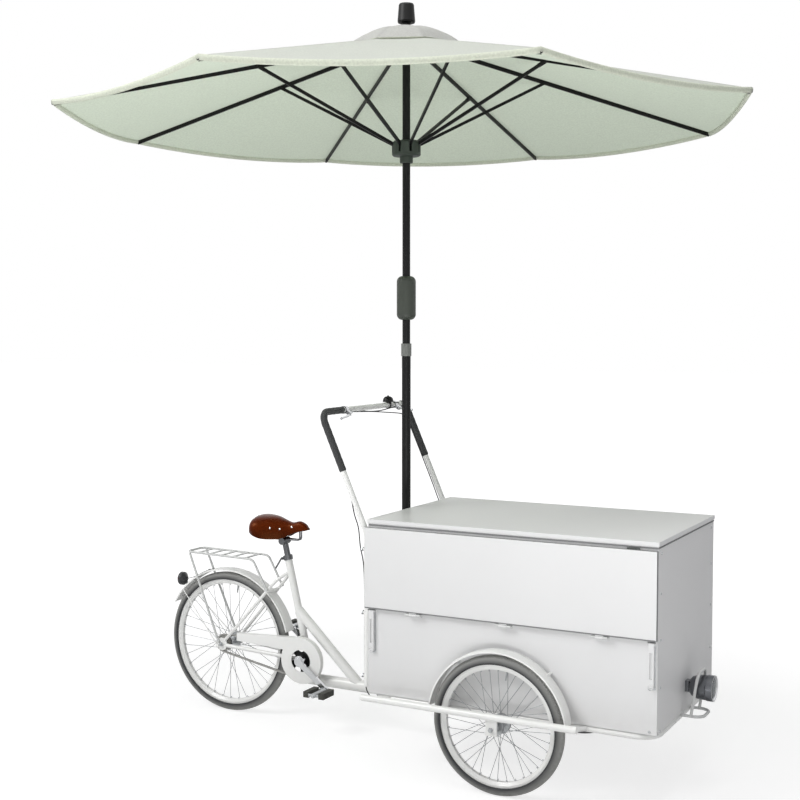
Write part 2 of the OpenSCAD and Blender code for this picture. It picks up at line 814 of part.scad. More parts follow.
// Serving flap: flat panel with the moving knuckles of its hinge
module side_flap() {
    edge = 1.5;
    color("white")
        difference() {
            union() {
                difference() {
                    translate([flap_x0, flap_y0, flap_z0])
                        cube([flap_x1 - flap_x0, flap_t, flap_z1 - flap_z0]);
                    for (z = [flap_z0, flap_z1])
                        translate([flap_x0 - 1, flap_y0, z])
                            rotate([45, 0, 0])
                                translate([0, -edge / 2, -edge / 2])
                                    cube([flap_x1 - flap_x0 + 2, edge, edge]);
                }
                for (x = flap_hinges)
                    translate([x - flap_knuckle_l / 2, flap_pin[0], flap_pin[1]]) {
                        rotate([0, 90, 0]) cylinder(r = flap_knuckle_r, h = flap_knuckle_l);
                        cube([flap_knuckle_l, flap_knuckle_r, flap_z0 - flap_pin[1] + edge]);
                    }
            }
            for (x = flap_hinges)
                translate([x - flap_knuckle_l, flap_pin[0], flap_pin[1]])
                    rotate([0, 90, 0]) cylinder(r = pin_r + run_fit, h = 2 * flap_knuckle_l);
        }
}

// Folding arm below the flap, with a pull ring at its lower end
module flap_arm(x) {
    wire = 1.6;
    color("lightgray")
        translate([x, arm_pin[0], arm_pin[1]]) {
            difference() {
                union() {
                    translate([-arm_w / 2, 0, 0])
                        rotate([0, 90, 0]) cylinder(r = arm_t / 2, h = arm_w);
                    translate([-arm_w / 2, -arm_t / 2, -arm_l]) cube([arm_w, arm_t, arm_l]);
                }
                translate([-arm_w, 0, 0])
                    rotate([0, 90, 0]) cylinder(r = pin_r + run_fit, h = 2 * arm_w);
                translate([-arm_w / 4, -arm_t, -arm_l * 0.8])
                    cube([arm_w / 2, arm_t, arm_l * 0.6]);
            }
            translate([0, -arm_t / 2, -arm_l + arm_ring_r / 2])
                rotate([90, 0, 0])
                    rotate_extrude()
                        translate([arm_ring_r, 0]) circle(r = wire);
        }
}

module flap_arm_rear() { flap_arm(arm_xs[0]); }

module flap_arm_front() { flap_arm(arm_xs[1]); }

// Lamp on the front wall: bullet housing with a rim, on a short foot
lamp_z = box_z0 + 89;
lamp_r = 47;
lamp_l = 90;
lamp_stand = 14;

module headlamp() {
    color("dimgray") {
        translate([body_x1 + lamp_stand, 0, lamp_z])
            rotate([0, 90, 0])
                difference() {
                    rotate_extrude($fn = 64)
                        polygon([
                            [0, 0], [lamp_r * 0.5, 0], [lamp_r * 0.75, lamp_l * 0.12],
                            [lamp_r * 0.92, lamp_l * 0.35], [lamp_r * 0.96, lamp_l * 0.7],
                            [lamp_r, lamp_l * 0.74], [lamp_r, lamp_l], [0, lamp_l]
                        ]);
                    translate([0, 0, lamp_l * 0.55])
                        cylinder(r1 = lamp_r * 0.4, r2 = lamp_r - 4, h = lamp_l * 0.45 + 0.01);
                }
        translate([body_x1, -15, lamp_z - 20]) cube([lamp_stand, 30, 40]);
    }
}

// Domed glass in the mouth of the lamp
module headlamp_lens() {
    color("black")
        translate([body_x1 + lamp_stand + lamp_l - 9, 0, lamp_z])
            rotate([0, 90, 0])
                rotate_extrude($fn = 64)
                    polygon([[0, 0], [lamp_r - 10, 0], [lamp_r - 8.2, 3], [lamp_r - 14, 7], [0, 11]]);
}

// Tube guard around the lamp: a loop under it and a hoop that stands on the loop
module headlamp_guard() {
    tube = 5.5;
    reach = body_x1 + 76;
    foot_z = hoop_z + 6;
    hoop_x = body_x1 + 58;
    half = lamp_r + tube + 4;
    top = lamp_z + lamp_r + tube + 8;
    color("lightgray") {
        bent_tube(
            [[body_x1 + gap, -half, foot_z], [reach, -half, foot_z], [reach, half, foot_z],
                [body_x1 + gap, half, foot_z]],
            [34, 34], tube
        );
        bent_tube(
            [[hoop_x - 24, -half, foot_z], [hoop_x, -half, top], [hoop_x, half, top],
                [hoop_x - 24, half, foot_z]],
            [36, 36], tube
        );
    }
}

// Push bar: one bent tube, bolted to the rear posts of the box
bar_foot = box_z0 + 20;
bar_points = [
    [bar_x, -leg_y, bar_foot], [bar_x, -leg_y, bar_knee_z], [-bar_back, -leg_y, bar_z],
    [-bar_back, leg_y, bar_z], [bar_x, leg_y, bar_knee_z], [bar_x, leg_y, bar_foot]
];
bar_knee_bend = 90;
bar_top_bend = 48;

module push_bar() {
    color("white") {
        bent_tube(bar_points, [bar_knee_bend, bar_top_bend, bar_top_bend, bar_knee_bend], bar_r);
        for (y = [-leg_y, leg_y], z = [box_z0 + 60, (box_z0 + bar_knee_z) / 2, bar_knee_z - 60]) {
            rod([bar_x - bar_r - 4, y, z], [body_x0, y, z], 5);
        }
    }
}

// Foam grips over both upper corners of the push bar
module grips() {
    color("dimgray") {
        grip(-1, grip_right);
        grip(1, grip_left);
    }
}

module grip(side, run) {
    share = (bar_z - grip_z0) / (bar_z - bar_knee_z);
    foot = [-bar_back + share * (bar_x + bar_back), side * leg_y, grip_z0];
    top = [-bar_back, side * leg_y, bar_z];
    end = [-bar_back, side * (leg_y - run), bar_z];
    way = unit(top - foot);
    difference() {
        bent_tube([foot, top, end], [bar_top_bend], bar_r + grip_t);
        bent_tube(
            [foot - way * 2, top, end - [0, side * 2, 0]], [bar_top_bend], bar_r + run_fit
        );
    }
}

// Brake lever clamps and the bell, all on the crossbar
lever_x = 27;
lever_eye_r = 7;
lever_t = 5;
lever_right_l = 98;
lever_left_l = 80;
bell_y = perch_left_y - 50;

module bar_fittings() {
    color("silver") {
        translate([-bar_back, perch_right_y, bar_z]) rotate([0, perch_tilt, 0]) perch();
        translate([-bar_back, perch_left_y, bar_z]) rotate([0, perch_tilt, 0]) perch();
    }
    color("black")
        translate([-bar_back, bell_y, bar_z]) bell();
}

// Clamp of a brake lever
module perch() {
    boss = 2 * lever_eye_r;
    slot = lever_t / 2 + gap;
    difference() {
        union() {
            across([0, perch_w / 2, 0]) cylinder(r = bar_r + 4.5, h = perch_w);
            translate([bar_r - 3, -perch_w / 2, -lever_eye_r])
                cube([lever_x + lever_eye_r - bar_r + 3, perch_w, boss]);
        }
        across([0, perch_w, 0]) cylinder(r = bar_r + run_fit, h = 2 * perch_w);
        translate([bar_r + 5, -perch_w, -slot])
            cube([lever_x + boss, 2 * perch_w, 2 * slot]);
    }
    translate([lever_x, 0, -lever_eye_r]) cylinder(r = pin_r, h = boss);
}

// Dome bell on a strap round the crossbar
module bell() {
    dome_r = 19;
    strap_w = 9;
    lift = bar_r + 5;
    difference() {
        union() {
            across([0, strap_w / 2, 0]) cylinder(r = bar_r + 3, h = strap_w);
            cylinder(r = 4, h = lift + 4);
        }
        across([0, strap_w, 0]) cylinder(r = bar_r + run_fit, h = 2 * strap_w);
    }
    translate([0, 0, lift])
        rotate_extrude()
            polygon([[0, 3], [dome_r, 0], [dome_r, 3], [dome_r * 0.86, 11], [dome_r * 0.5, 16], [0, 18]]);
}

// Brake lever, its blade in front of its grip
module brake_lever(y, side, reach) {
    tip = [52, reach];
    color("silver")
        translate([-bar_back, y, bar_z])
            rotate([0, perch_tilt, 0]) mirror([0, side > 0 ? 0 : 1, 0])
                difference() {
                    union() {
                        translate([lever_x, 0, -lever_t / 2]) cylinder(r = lever_eye_r - 1, h = lever_t);
                        translate([0, 0, -lever_t / 2])
                            linear_extrude(lever_t) {
                                hull() {
                                    translate([lever_x + 2, 2]) circle(r = 4, $fn = 32);
                                    translate([tip[0] * 0.8, tip[1] * 0.3]) circle(r = 4, $fn = 32);
                                }
                                hull() {
                                    translate([tip[0] * 0.8, tip[1] * 0.3]) circle(r = 4, $fn = 32);
                                    translate(tip) circle(r = 3, $fn = 32);
                                }
                            }
                        translate([tip[0], tip[1], -4.5]) cylinder(r = 4.5, h = 9);
                    }
                    translate([lever_x, 0, -lever_t]) cylinder(r = pin_r + run_fit, h = 2 * lever_t);
                }
}

module brake_lever_right() { brake_lever(perch_right_y, -1, lever_right_l); }

module brake_lever_left() { brake_lever(perch_left_y, 1, lever_left_l); }

module brake_cables() {
    color("black") {
        cable(cable_left);
        cable(cable_right);
    }
}

// Lower mast tube and its collar
module mast_lower() {
    color("black")
        difference() {
            union() {
                translate([0, 0, mast_foot])
                    cylinder(r = mast_lower_r, h = mast_joint_z - mast_foot);
                translate([0, 0, mast_joint_z - mast_collar_h])
                    cylinder(r = mast_collar_r, h = mast_collar_h);
            }
            translate([0, 0, mast_foot + 10])
                cylinder(r = mast_r + run_fit, h = mast_joint_z - mast_foot);
        }
}

module mast_upper() {
    color("black")
        difference() {
            translate([0, 0, mast_upper_z0]) cylinder(r = mast_r, h = mast_top - mast_upper_z0);
            translate([0, 0, mast_upper_z0 - 1])
                cylinder(r = mast_r - mast_wall, h = mast_top - mast_upper_z0 - 20);
        }
}

// Grip with round shoulders
module mast_grip() {
    shoulder = knob_r - mast_r;
    color("gray")
        translate([0, 0, knob_z0])
            rotate_extrude($fn = 64)
                difference() {
                    union() {
                        translate([0, shoulder]) square([knob_r, knob_h - 2 * shoulder]);
                        translate([mast_r, shoulder]) circle(r = shoulder);
                        translate([mast_r, knob_h - shoulder]) circle(r = shoulder);
                    }
                    translate([-knob_r, -1]) square([knob_r + mast_r + run_fit, knob_h + 2]);
                }
}

// Eight-fold hub that the ribs hang from, and the finial above the canopy
module crown() {
    color("black") {
        difference() {
            translate([0, 0, crown_z - 20]) cylinder(r = crown_r, h = 38);
            translate([0, 0, crown_z - 21]) cylinder(r = mast_r + run_fit, h = 39 + gap);
            around_mast() rib_slot(crown_z - 21, crown_z + 12);
        }
        around_mast()
            across([crown_pin_r, rib_w / 2 + 3, crown_z]) cylinder(r = 3, h = rib_w + 6);
        translate([0, 0, mast_top + gap]) finial();
    }
}

// Slot for a rib or a stretcher, open outwards and downwards
module rib_slot(z0, z1) {
    translate([mast_r + 8, -rib_w / 2 - 0.5, z0])
        cube([crown_r, rib_w + 1, z1 - z0]);
}

module around_mast() {
    for (k = [0:rib_n - 1]) rotate([0, 0, 360 * k / rib_n]) children();
}

module finial() {
    neck_r = 17;
    disc_r = 46;
    disc_z = vent_z + gap - mast_top - gap;
    base = finial_z0 - mast_top - gap;
    rotate_extrude($fn = 64)
        polygon([
            [0, 0], [neck_r, 0], [neck_r, disc_z], [disc_r, disc_z], [disc_r, disc_z + 2],
            [neck_r + 2, disc_z + 5], [neck_r, disc_z + 5], [neck_r, base - 5], [33, base - 4],
            [34, base - 1], [33, base], [35, base + 2], [30, base + finial_h - 5],
            [27, base + finial_h], [0, base + finial_h]
        ]);
}

// Runner that carries the stretchers
module runner() {
    slot_w = rib_w + 1.2;
    color("darkslategray")
        difference() {
            rotate_extrude($fn = 64)
                polygon([
                    [mast_r + run_fit, runner_z0 - runner_neck], [24, runner_z0 - runner_neck],
                    [26, runner_z0 - runner_neck + 3], [26, runner_z0], [runner_r - 5, runner_z0],
                    [runner_r, runner_z0 + 5], [runner_r, runner_z1 - 8], [runner_r - 8, runner_z1],
                    [mast_r + run_fit, runner_z1]
                ]);
            around_mast()
                translate([mast_r + 7, -slot_w / 2, runner_z0 + 14])
                    cube([runner_r, slot_w, runner_h]);
        }
}

// Rib k: a steel bar with an eye at the crown, a bore for the stretcher and a tip
module rib(k) {
    color("black")
        rotate([0, 0, 360 * (k - 1) / rib_n])
            translate([crown_pin_r, 0, crown_z])
                rotate([0, rib_slope, 0]) {
                    difference() {
                        union() {
                            across([0, rib_w / 2, 0]) cylinder(r = rib_h / 2, h = rib_w);
                            translate([0, -rib_w / 2, -rib_h / 2]) cube([rib_l, rib_w, rib_h]);
                        }
                        across([0, rib_w, 0]) cylinder(r = 3 + run_fit, h = 2 * rib_w);
                        across([strut_at, rib_w, 0]) cylinder(r = 3 + run_fit, h = 2 * rib_w);
                    }
                    translate([rib_l, 0, 0]) rotate([0, 90, 0]) cylinder(r = rib_w / 2, h = 8);
                }
}

// Stretcher k: a bar from a fork round its rib to a slot in the runner
module stretcher(k) {
    fork = rib_w / 2 + gap;
    fork_l = 36;
    color("black")
        rotate([0, 0, 360 * (k - 1) / rib_n])
            translate([strut_out[0], 0, strut_out[1]])
                rotate([0, 180 - strut_rise, 0]) {
                    for (y = [-fork - cheek_t, fork]) {
                        across([0, y + cheek_t, 0]) cylinder(r = strut_h / 2, h = cheek_t);
                        translate([0, y, -strut_h / 2]) cube([fork_l, cheek_t, strut_h]);
                    }
                    translate([fork_l - 10, -fork - cheek_t, -strut_h / 2])
                        cube([10, 2 * (fork + cheek_t), strut_h]);
                    translate([fork_l - 10, -rib_w / 2, -strut_h / 2])
                        cube([strut_l - fork_l + 10, rib_w, strut_h]);
                    across([0, fork + cheek_t, 0]) cylinder(r = 3, h = 2 * (fork + cheek_t));
                }
}

module rib_1() { rib(1); }
module rib_2() { rib(2); }
module rib_3() { rib(3); }
module rib_4() { rib(4); }
module rib_5() { rib(5); }
module rib_6() { rib(6); }
module rib_7() { rib(7); }
module rib_8() { rib(8); }

module stretcher_1() { stretcher(1); }
module stretcher_2() { stretcher(2); }
module stretcher_3() { stretcher(3); }
module stretcher_4() { stretcher(4); }
module stretcher_5() { stretcher(5); }
module stretcher_6() { stretcher(6); }
module stretcher_7() { stretcher(7); }
module stretcher_8() { stretcher(8); }

// Canopy of eight gores over the ribs, open in the middle, and the vent cap above the opening
function gore_point(k, t, rib_a, sag, lift) =
    let (
        a0 = 360 * k / rib_n,
        a1 = 360 * (k + 1) / rib_n,
        flat = (1 - t) * [cos(a0), sin(a0)] + t * [cos(a1), sin(a1)]
    )
    [rib_a[0] * flat[0], rib_a[0] * flat[1], rib_a[1] - sag * pow(sin(180 * t), 2) + lift];

// One ring of points around the mast at a radius and a height
function canopy_ring(r, z, sag, steps, lift) =
    [for (k = [0:rib_n - 1], j = [0:steps - 1]) gore_point(k, j / steps, [r, z], sag, lift)];

// Sheet of cloth from an inner ring to an outer one, given as [radius, height, sag] rows
module cloth(rows, steps) {
    n = rib_n * steps;
    m = len(rows);
    top = [for (row = rows) each canopy_ring(row[0], row[1], row[2], steps, cloth_t)];
    under = [for (row = rows) each canopy_ring(row[0], row[1], row[2], steps, 0)];
    low = m * n;
    faces = [for (i = [0:m - 2], j = [0:n - 1])
        let (a = i * n + j, b = i * n + (j + 1) % n)
            each [
                [a, b + n, b], [a, a + n, b + n],
                [low + a, low + b, low + b + n], [low + a, low + b + n, low + a + n]
            ]];
    rims = [for (j = [0:n - 1])
        let (a = j, b = (j + 1) % n, c = (m - 1) * n + j, d = (m - 1) * n + (j + 1) % n)
            each [[a, b, low + b], [a, low + b, low + a], [c, low + d, d], [c, low + c, low + d]]];
    polyhedron(points = concat(top, under), faces = concat(faces, rims));
}

module canopy() {
    rows = 7;
    slope = (crown_z - rib_tip_z) / (rib_tip_r - crown_pin_r);
    function rib_line(r) = crown_z - (r - crown_pin_r) * slope + rib_lift / cos(rib_slope);
    color("honeydew") {
        cloth([for (i = [0:rows])
            let (r = vent_hole_r + (canopy_r - vent_hole_r) * i / rows)
                [r, rib_line(r), canopy_sag * i / rows]], 6);
        rim_z = rib_line(vent_r) + vent_lift;
        cloth([for (i = [0:3])
            let (r = 20 + (vent_r - 20) * i / 3)
                [r, vent_z - cloth_t + (rim_z - vent_z) * i / 3, -6 * sin(60 * i)]], 4);
    }
}

module rear_tyre() {
    color("dimgray") across(rear_axle) tyre(rear_wheel_r);
}

module rear_wheel() {
    color("white")
        across(rear_axle) {
            rim(rear_wheel_r);
            rear_hub();
            spokes(rear_wheel_r, rear_flange_z, hub_flange_r - 5);
        }
}

// Rear frame: seat tube, down tube, beam with the steering pin, stays and dropouts
module rear_frame() {
    bore_l = 320;
    color("white")
        difference() {
            union() {
                rear_tubes();
                seat_clamp();
            }
            translate(on_seat_tube(seat_tube_z))
                rotate([0, -seat_lean, 0])
                    translate([0, 0, -bore_l])
                        cylinder(r = seat_post_r + run_fit, h = bore_l + 1);
            across([crank[0], 60, crank[2]]) cylinder(r = spindle_r + run_fit, h = 120);
            across([rear_axle[0], 100, rear_axle[2]]) cylinder(r = rear_axle_r + run_fit, h = 200);
        }
}

module rear_tubes() {
    shell_r = 20;
    shell_half = 34;
    knee = on_seat_tube(seat_tube_z - down_drop);
    low = on_seat_tube(beam_z);
    rod(low, on_seat_tube(seat_tube_z), seat_tube_r);
    rod([low[0] - 16, 0, beam_z], [steer_x + beam_r, 0, beam_z], beam_r);
    rod(knee, [low[0] + 225, 0, beam_z + 6], down_r);
    across([crank[0], shell_half, crank[2]]) cylinder(r = shell_r, h = 2 * shell_half);
    translate([steer_x, 0, beam_z]) cylinder(r = king_r, h = king_top - beam_z);
    translate([steer_x, 0, beam_z]) cylinder(r = head_r + 12, h = turn_z0 + turn_t - beam_z);
    both_sides() {
        stay_top = on_seat_tube(seat_tube_z - stay_drop);
        drop = [rear_axle[0], -drop_y - drop_t / 2, rear_axle[2]];
        bent_tube([stay_top, flip_y(stay_knee), drop + [16, 0, 18]], [60], stay_r);
        rod([crank[0] - 6, -27, crank[2] - 4], drop + [22, 0, -4], stay_r + 1.5);
        across(drop + [0, drop_t / 2, 0]) cylinder(r = 27, h = drop_t);
    }
    bridge_r = 6;
    from_axle = [stay_knee[0] - rear_axle[0] - 16, 0, stay_knee[2] - rear_axle[2] - 18];
    bridge = rear_axle + [16, 0, 18] + unit(from_axle) * (rear_fender_r + fender_t + bridge_r + gap - 24);
    rod(bridge - [0, 47, 0], bridge + [0, 47, 0], bridge_r);
}

// Quick release clamp at the top of the seat tube
module seat_clamp() {
    collar_h = 20;
    translate(on_seat_tube(seat_tube_z - collar_h))
        rotate([0, -seat_lean, 0]) {
            cylinder(r = seat_tube_r + 4, h = collar_h);
            across([-seat_tube_r - 5, 14, collar_h / 2]) cylinder(r = 6, h = 28);
        }
    hub = on_seat_tube(seat_tube_z - collar_h / 2) + [-seat_tube_r - 6, -16, -2];
    rod(hub, hub + [-28, -4, -46], 3.5);
}

module rear_axle() {
    nut_h = 8;
    end = drop_y + drop_t;
    color("silver")
        across(rear_axle) {
            translate([0, 0, -end - nut_h - 5]) cylinder(r = rear_axle_r, h = 2 * (end + nut_h + 5));
            for (z = [-end - nut_h, end]) translate([0, 0, z]) cylinder(r = 9, h = nut_h, $fn = 6);
            for (z = [-drop_y, drop_y - 2]) translate([0, 0, z]) cylinder(r = 9, h = 2);
        }
}

// Outline of a toothed wheel: four points for each tooth
function teeth(n, pitch_r) =
    let (root = pitch_r - roller_r - gap, tip = pitch_r + 3.2, step = 360 / n)
    [for (i = [0:n - 1], p = [[-0.17, root], [-0.07, tip], [0.07, tip], [0.17, root]])
        let (a = (i + p[0]) * step)
            [p[1] * cos(a), p[1] * sin(a)]];

// Tangent angle of the chain over the two wheels, seen along the axles
wheel_gap = [crank[0] - rear_axle[0], crank[2] - rear_axle[2]];
chain_tilt = atan2(wheel_gap[1], wheel_gap[0]);
chain_open = asin((ring_r - cog_r) / norm(wheel_gap));
ring_step = 360 / ring_teeth;
cog_step = 360 / cog_teeth;
ring_top = chain_tilt + 90 + chain_open;
cog_low = chain_tilt - 90 - chain_open;

// Roller places: round the chainring from the top, lower run, round the sprocket, back
ring_rollers = [for (i = [0:floor((180 + 2 * chain_open) / ring_step)])
    let (a = ring_top - i * ring_step)
        [crank[0] + ring_r * cos(a), crank[2] + ring_r * sin(a)]];
cog_rollers = [for (i = [0:floor((180 - 2 * chain_open) / cog_step)])
    let (a = cog_low - i * cog_step)
        [rear_axle[0] + cog_r * cos(a), rear_axle[2] + cog_r * sin(a)]];
function run_between(a, b) =
    let (n = round(norm(b - a) / chain_pitch))
    [for (i = [1:n - 1]) a + (b - a) * i / n];
chain_points = concat(
    ring_rollers, run_between(ring_rollers[len(ring_rollers) - 1], cog_rollers[0]), cog_rollers,
    run_between(cog_rollers[len(cog_rollers) - 1], ring_rollers[0])
);

// Outline of a row of chain plates: wide at each roller and narrow between
function plate_outline(side) =
    let (n = len(chain_points))
    [for (i = [0:n - 1])
        let (
            p = chain_points[i],
            q = chain_points[(i + 1) % n],
            o = chain_points[(i + n - 1) % n],
            at_p = unit([q[1] - o[1], o[0] - q[0]]),
            mid = unit([q[1] - p[1], p[0] - q[0]])
        )
        each [p + at_p * side * 4.2, (p + q) / 2 + mid * side * 3]];

module chain() {
    plate_t = 1.2;
    n = len(chain_points);
    color("gray") {
        for (y = [chain_y - chain_w / 2 + plate_t, chain_y + chain_w / 2])
            translate([0, y, 0])
                rotate([90, 0, 0])
                    linear_extrude(plate_t)
                        difference() {
                            polygon(plate_outline(-1));
                            polygon(plate_outline(1));
                        }
        for (p = chain_points)
            across([p[0], chain_y + chain_w / 2 - plate_t, p[1]])
                cylinder(r = roller_r, h = chain_w - 2 * plate_t, $fn = 16);
    }
}

// Freewheel sprocket on the rear hub
module sprocket() {
    phase = cog_low + cog_step / 2;
    disc_t = 3;
    body_w = 14;
    bore = 17 + run_fit;
    color("gray")
        across([rear_axle[0], chain_y, rear_axle[2]])
            difference() {
                union() {
                    rotate([0, 0, phase])
                        translate([0, 0, -disc_t / 2])
                            linear_extrude(disc_t) polygon(teeth(cog_teeth, cog_r));
                    translate([0, 0, -body_w / 2]) cylinder(r = 27, h = body_w);
                }
                translate([0, 0, -body_w]) cylinder(r = bore, h = 2 * body_w);
            }
}

// Cranks on their axle, with the chainring
module crankset() {
    phase = ring_top + ring_step / 2;
    disc_t = 3;
    color("silver")
        across(crank) {
            translate([0, 0, -crank_y - crank_t / 2])
                cylinder(r = spindle_r, h = 2 * crank_y + crank_t);
            translate([0, 0, -chain_y - disc_t / 2])
                rotate([0, 0, phase])
                    difference() {
                        linear_extrude(disc_t) polygon(teeth(ring_teeth, ring_r));
                        for (k = [0:4])
                            rotate([0, 0, 72 * k])
                                translate([ring_r * 0.62, 0, -1])
                                    cylinder(r = ring_r * 0.19, h = disc_t + 2);
                    }
            translate([0, 0, -chain_y]) cylinder(r = 24, h = crank_y + chain_y);
            rotate([0, 0, -crank_slope]) {
                crank_arm(1);
                rotate([0, 0, 180]) crank_arm(-1);
            }
        }
}

// Crank arm with the pin of its pedal; side is 1 on the right of the cart
module crank_arm(side) {
    pin_l = pedal_l + 6;
    z = side * crank_y - crank_t / 2;
    translate([0, 0, z]) cylinder(r = 16, h = crank_t);
    translate([crank_l, 0, z]) cylinder(r = 12, h = crank_t);
    translate([0, 0, z])
        linear_extrude(crank_t) polygon([[0, -13], [crank_l, -9], [crank_l, 9], [0, 13]]);
    translate([crank_l, 0, side > 0 ? z : z - pin_l]) cylinder(r = pedal_pin_r, h = crank_t + pin_l);
}

// Pedal: a cage of two rubber blocks and two end plates on a tube; turn is 1 on the right, -1 on the left
module pedal(turn) {
    inner = crank_y + crank_t / 2 + 3;
    z0 = turn > 0 ? inner : -inner - pedal_l;
    block = 24;
    color("dimgray")
        across(crank)
            translate([turn * crank_l * cos(crank_slope), -turn * crank_l * sin(crank_slope), z0])
                difference() {
                    union() {
                        cylinder(r = 10, h = pedal_l);
                        for (x = [-pedal_w / 2, pedal_w / 2 - block])
                            translate([x, -pedal_t / 2, 4]) cube([block, pedal_t, pedal_l - 8]);
                        for (z = [4, pedal_l - 9])
                            translate([-pedal_w / 2 + 4, -6, z]) cube([pedal_w - 8, 12, 5]);
                    }
                    translate([0, 0, -1]) cylinder(r = pedal_pin_r + run_fit, h = pedal_l + 2);
                }
}

module pedal_right() { pedal(1); }

module pedal_left() { pedal(-1); }

// Chain guard outline, seen from the right: a disc round the chainring and a tapered arm behind it
module case_outline(shrink, past) {
    end = [rear_axle[0] + 76 - past, rear_axle[2] + cog_r + 2];
    translate([crank[0], crank[2]]) circle(r = case_r - shrink, $fn = 96);
    polygon([
        [end[0], end[1] - 16 + shrink], [end[0], end[1] + 16 - shrink],
        [crank[0], crank[2] + case_r - shrink], [crank[0], crank[2] + case_r - 62 + shrink]
    ]);
}

// Chain guard: a pressed shell, open towards the wheel, with a hole for the crank and no wall where
// the chain and the stay come in
module chain_case() {
    far = 2 * case_r;
    color("white")
        difference() {
            translate([0, case_y + case_depth, 0])
                rotate([90, 0, 0]) linear_extrude(case_depth) case_outline(0, 0);
            translate([0, case_y + case_depth + 1, 0])
                rotate([90, 0, 0])
                    linear_extrude(case_depth - case_t + 1) {
                        case_outline(case_t, 5);
                        translate([crank[0], crank[2]])
                            polygon([[0, 0], [-far, far * tan(10)], [-far, -far * tan(55)]]);
                    }
            across([crank[0], 0, crank[2]]) cylinder(r = case_hole_r, h = 2 * crank_y);
        }
    tie = on_seat_tube(crank_z + case_r - 4);
    color("white")
        across([tie[0], -seat_tube_r - gap, tie[2]])
            cylinder(r = 5, h = 7 - case_y - case_depth - seat_tube_r - gap);
}

// Mudguard of the rear wheel
module rear_fender() {
    wire = 2;
    eye = [rear_axle[0] - 18, drop_y + drop_t, rear_axle[2] - 8];
    top = rear_axle + (rear_fender_r - 2) * [cos(138), 0, sin(138)] + [0, rear_fender_w / 2 - 1, 0];
    color("white") {
        across(rear_axle) fender(rear_fender_r, rear_fender_w, 14, 152);
        both_sides() {
            rod(top, eye + [0, 5, 0], wire);
            across(eye + [0, 8, 0]) cylinder(r = 5, h = 8);
        }
    }
}

// Tube rack over the rear wheel with five slats and two legs
module rear_rack() {
    front = [stay_knee[0] - 36, rack_y, stay_knee[2] - 40];
    eye = [rear_axle[0] - 14, drop_y + drop_t, rear_axle[2] + 12];
    leg_top = [rack_x0 + 16, rack_y, rack_z];
    color("white") {
        bent_tube(
            [flip_y(front), [rack_x1, -rack_y, rack_z], [rack_x0, -rack_y, rack_z + 6],
                [rack_x0, rack_y, rack_z + 6], [rack_x1, rack_y, rack_z], front],
            [34, 30, 30, 34], rack_r
        );
        for (i = [0:4]) {
            x = rack_x0 + 50 + i * (rack_x1 - rack_x0 - 90) / 4;
            translate([x - 7, -rack_y, rack_z + 1]) cube([14, 2 * rack_y, 4]);
        }
        both_sides() {
            across(front + [0, rack_r, 0]) cylinder(r = 6, h = rack_y + rack_r - 54.7);
            rod(leg_top, [eye[0], eye[1] + rack_r + gap, eye[2]], rack_r);
            across([eye[0], eye[1] + 2 * rack_r, eye[2]]) cylinder(r = 7, h = 2 * rack_r);
        }
    }
}

// Round lamp on a bracket at the back of the rear mudguard
module tail_lamp() {
    angle = 135;
    lamp = 29;
    out = [cos(angle), 0, sin(angle)];
    seat = rear_axle + (rear_fender_r + fender_t + gap) * out;
    color("dimgray") {
        translate(seat + [-20, 0, 24])
            rotate([0, -90, 0])
                rotate_extrude()
                    polygon([[0, -14], [9, -14], [20, -6], [lamp, 2], [lamp, 16], [lamp - 3, 19], [0, 21]]);
        rod(seat, seat + 20 * out, 6);
    }
}

// Seat post with the saddle clamp on top
module seat_post() {
    color("silver") {
        translate(post_top)
            rotate([0, -seat_lean, 0])
                translate([0, 0, -post_l]) cylinder(r = seat_post_r, h = post_l);
        across(post_top + [0, 26, 0]) cylinder(r = 15, h = 52);
        both_sides() saddle_rail();
    }
}

// Rail under the saddle, from the nose to the back, through the clamp of the seat post
module saddle_rail() {
    front = nose_x - saddle_l * saddle_rows[2][0];
    back = nose_x - saddle_l * saddle_rows[6][0];
    low = post_top[2] + 8;
    bent_tube(
        [[front, -7, saddle_under(saddle_rows[2]) + 0.6], [front, -7, low], [back, -24, low],
            [back, -24, saddle_under(saddle_rows[6]) + 0.6]],
        [12, 12], saddle_rail_r
    );
}

// Saddle: crowned leather top with deep skirts, broad at the back and narrow at the nose. Each row has
// a share of the length, a share of the half width, and the drop of its crown and of its skirt.
saddle_rows = [
    [0, 0.13, 42, 52], [0.05, 0.2, 28, 56], [0.15, 0.24, 18, 60], [0.3, 0.29, 25, 74], [0.45, 0.45, 15, 92],
    [0.6, 0.7, 4, 95], [0.75, 0.93, 0, 91], [0.87, 1, 0, 80], [0.95, 0.92, 6, 68], [1, 0.66, 24, 54]
];
function saddle_under(row) = saddle_top - row[3] + 0.4 * (row[3] - row[2]);
function saddle_ring(row, hollow) =
    let (
        x = nose_x - saddle_l * row[0],
        half = saddle_w / 2 * row[1],
        high = saddle_top - row[2],
        low = saddle_top - row[3],
        cols = 14
    )
    concat(
        [for (j = [0:cols])
            [x, -half * cos(180 * j / cols), low + (high - low) * pow(sin(180 * j / cols), 0.55)]],
        [for (y = [0.8, 0.6, 0, -0.6, -0.8])
            [x, half * y, hollow ? (abs(y) > 0.7 ? low + 3 : saddle_under(row) + 3 * (1 - abs(y)))
                : low - 2 * (1 - y * y)]]
    );

module saddle() {
    last = len(saddle_rows) - 1;
    color("saddlebrown")
        skin([for (i = [0:last]) saddle_ring(saddle_rows[i], i > 0 && i < last)]);
}

module front_tyre_right() { color("dimgray") front_tyre(); }

module front_tyre_left() {
    color("dimgray") mirror([0, 1, 0]) front_tyre();
}

module front_wheel_right() { color("white") front_wheel(); }

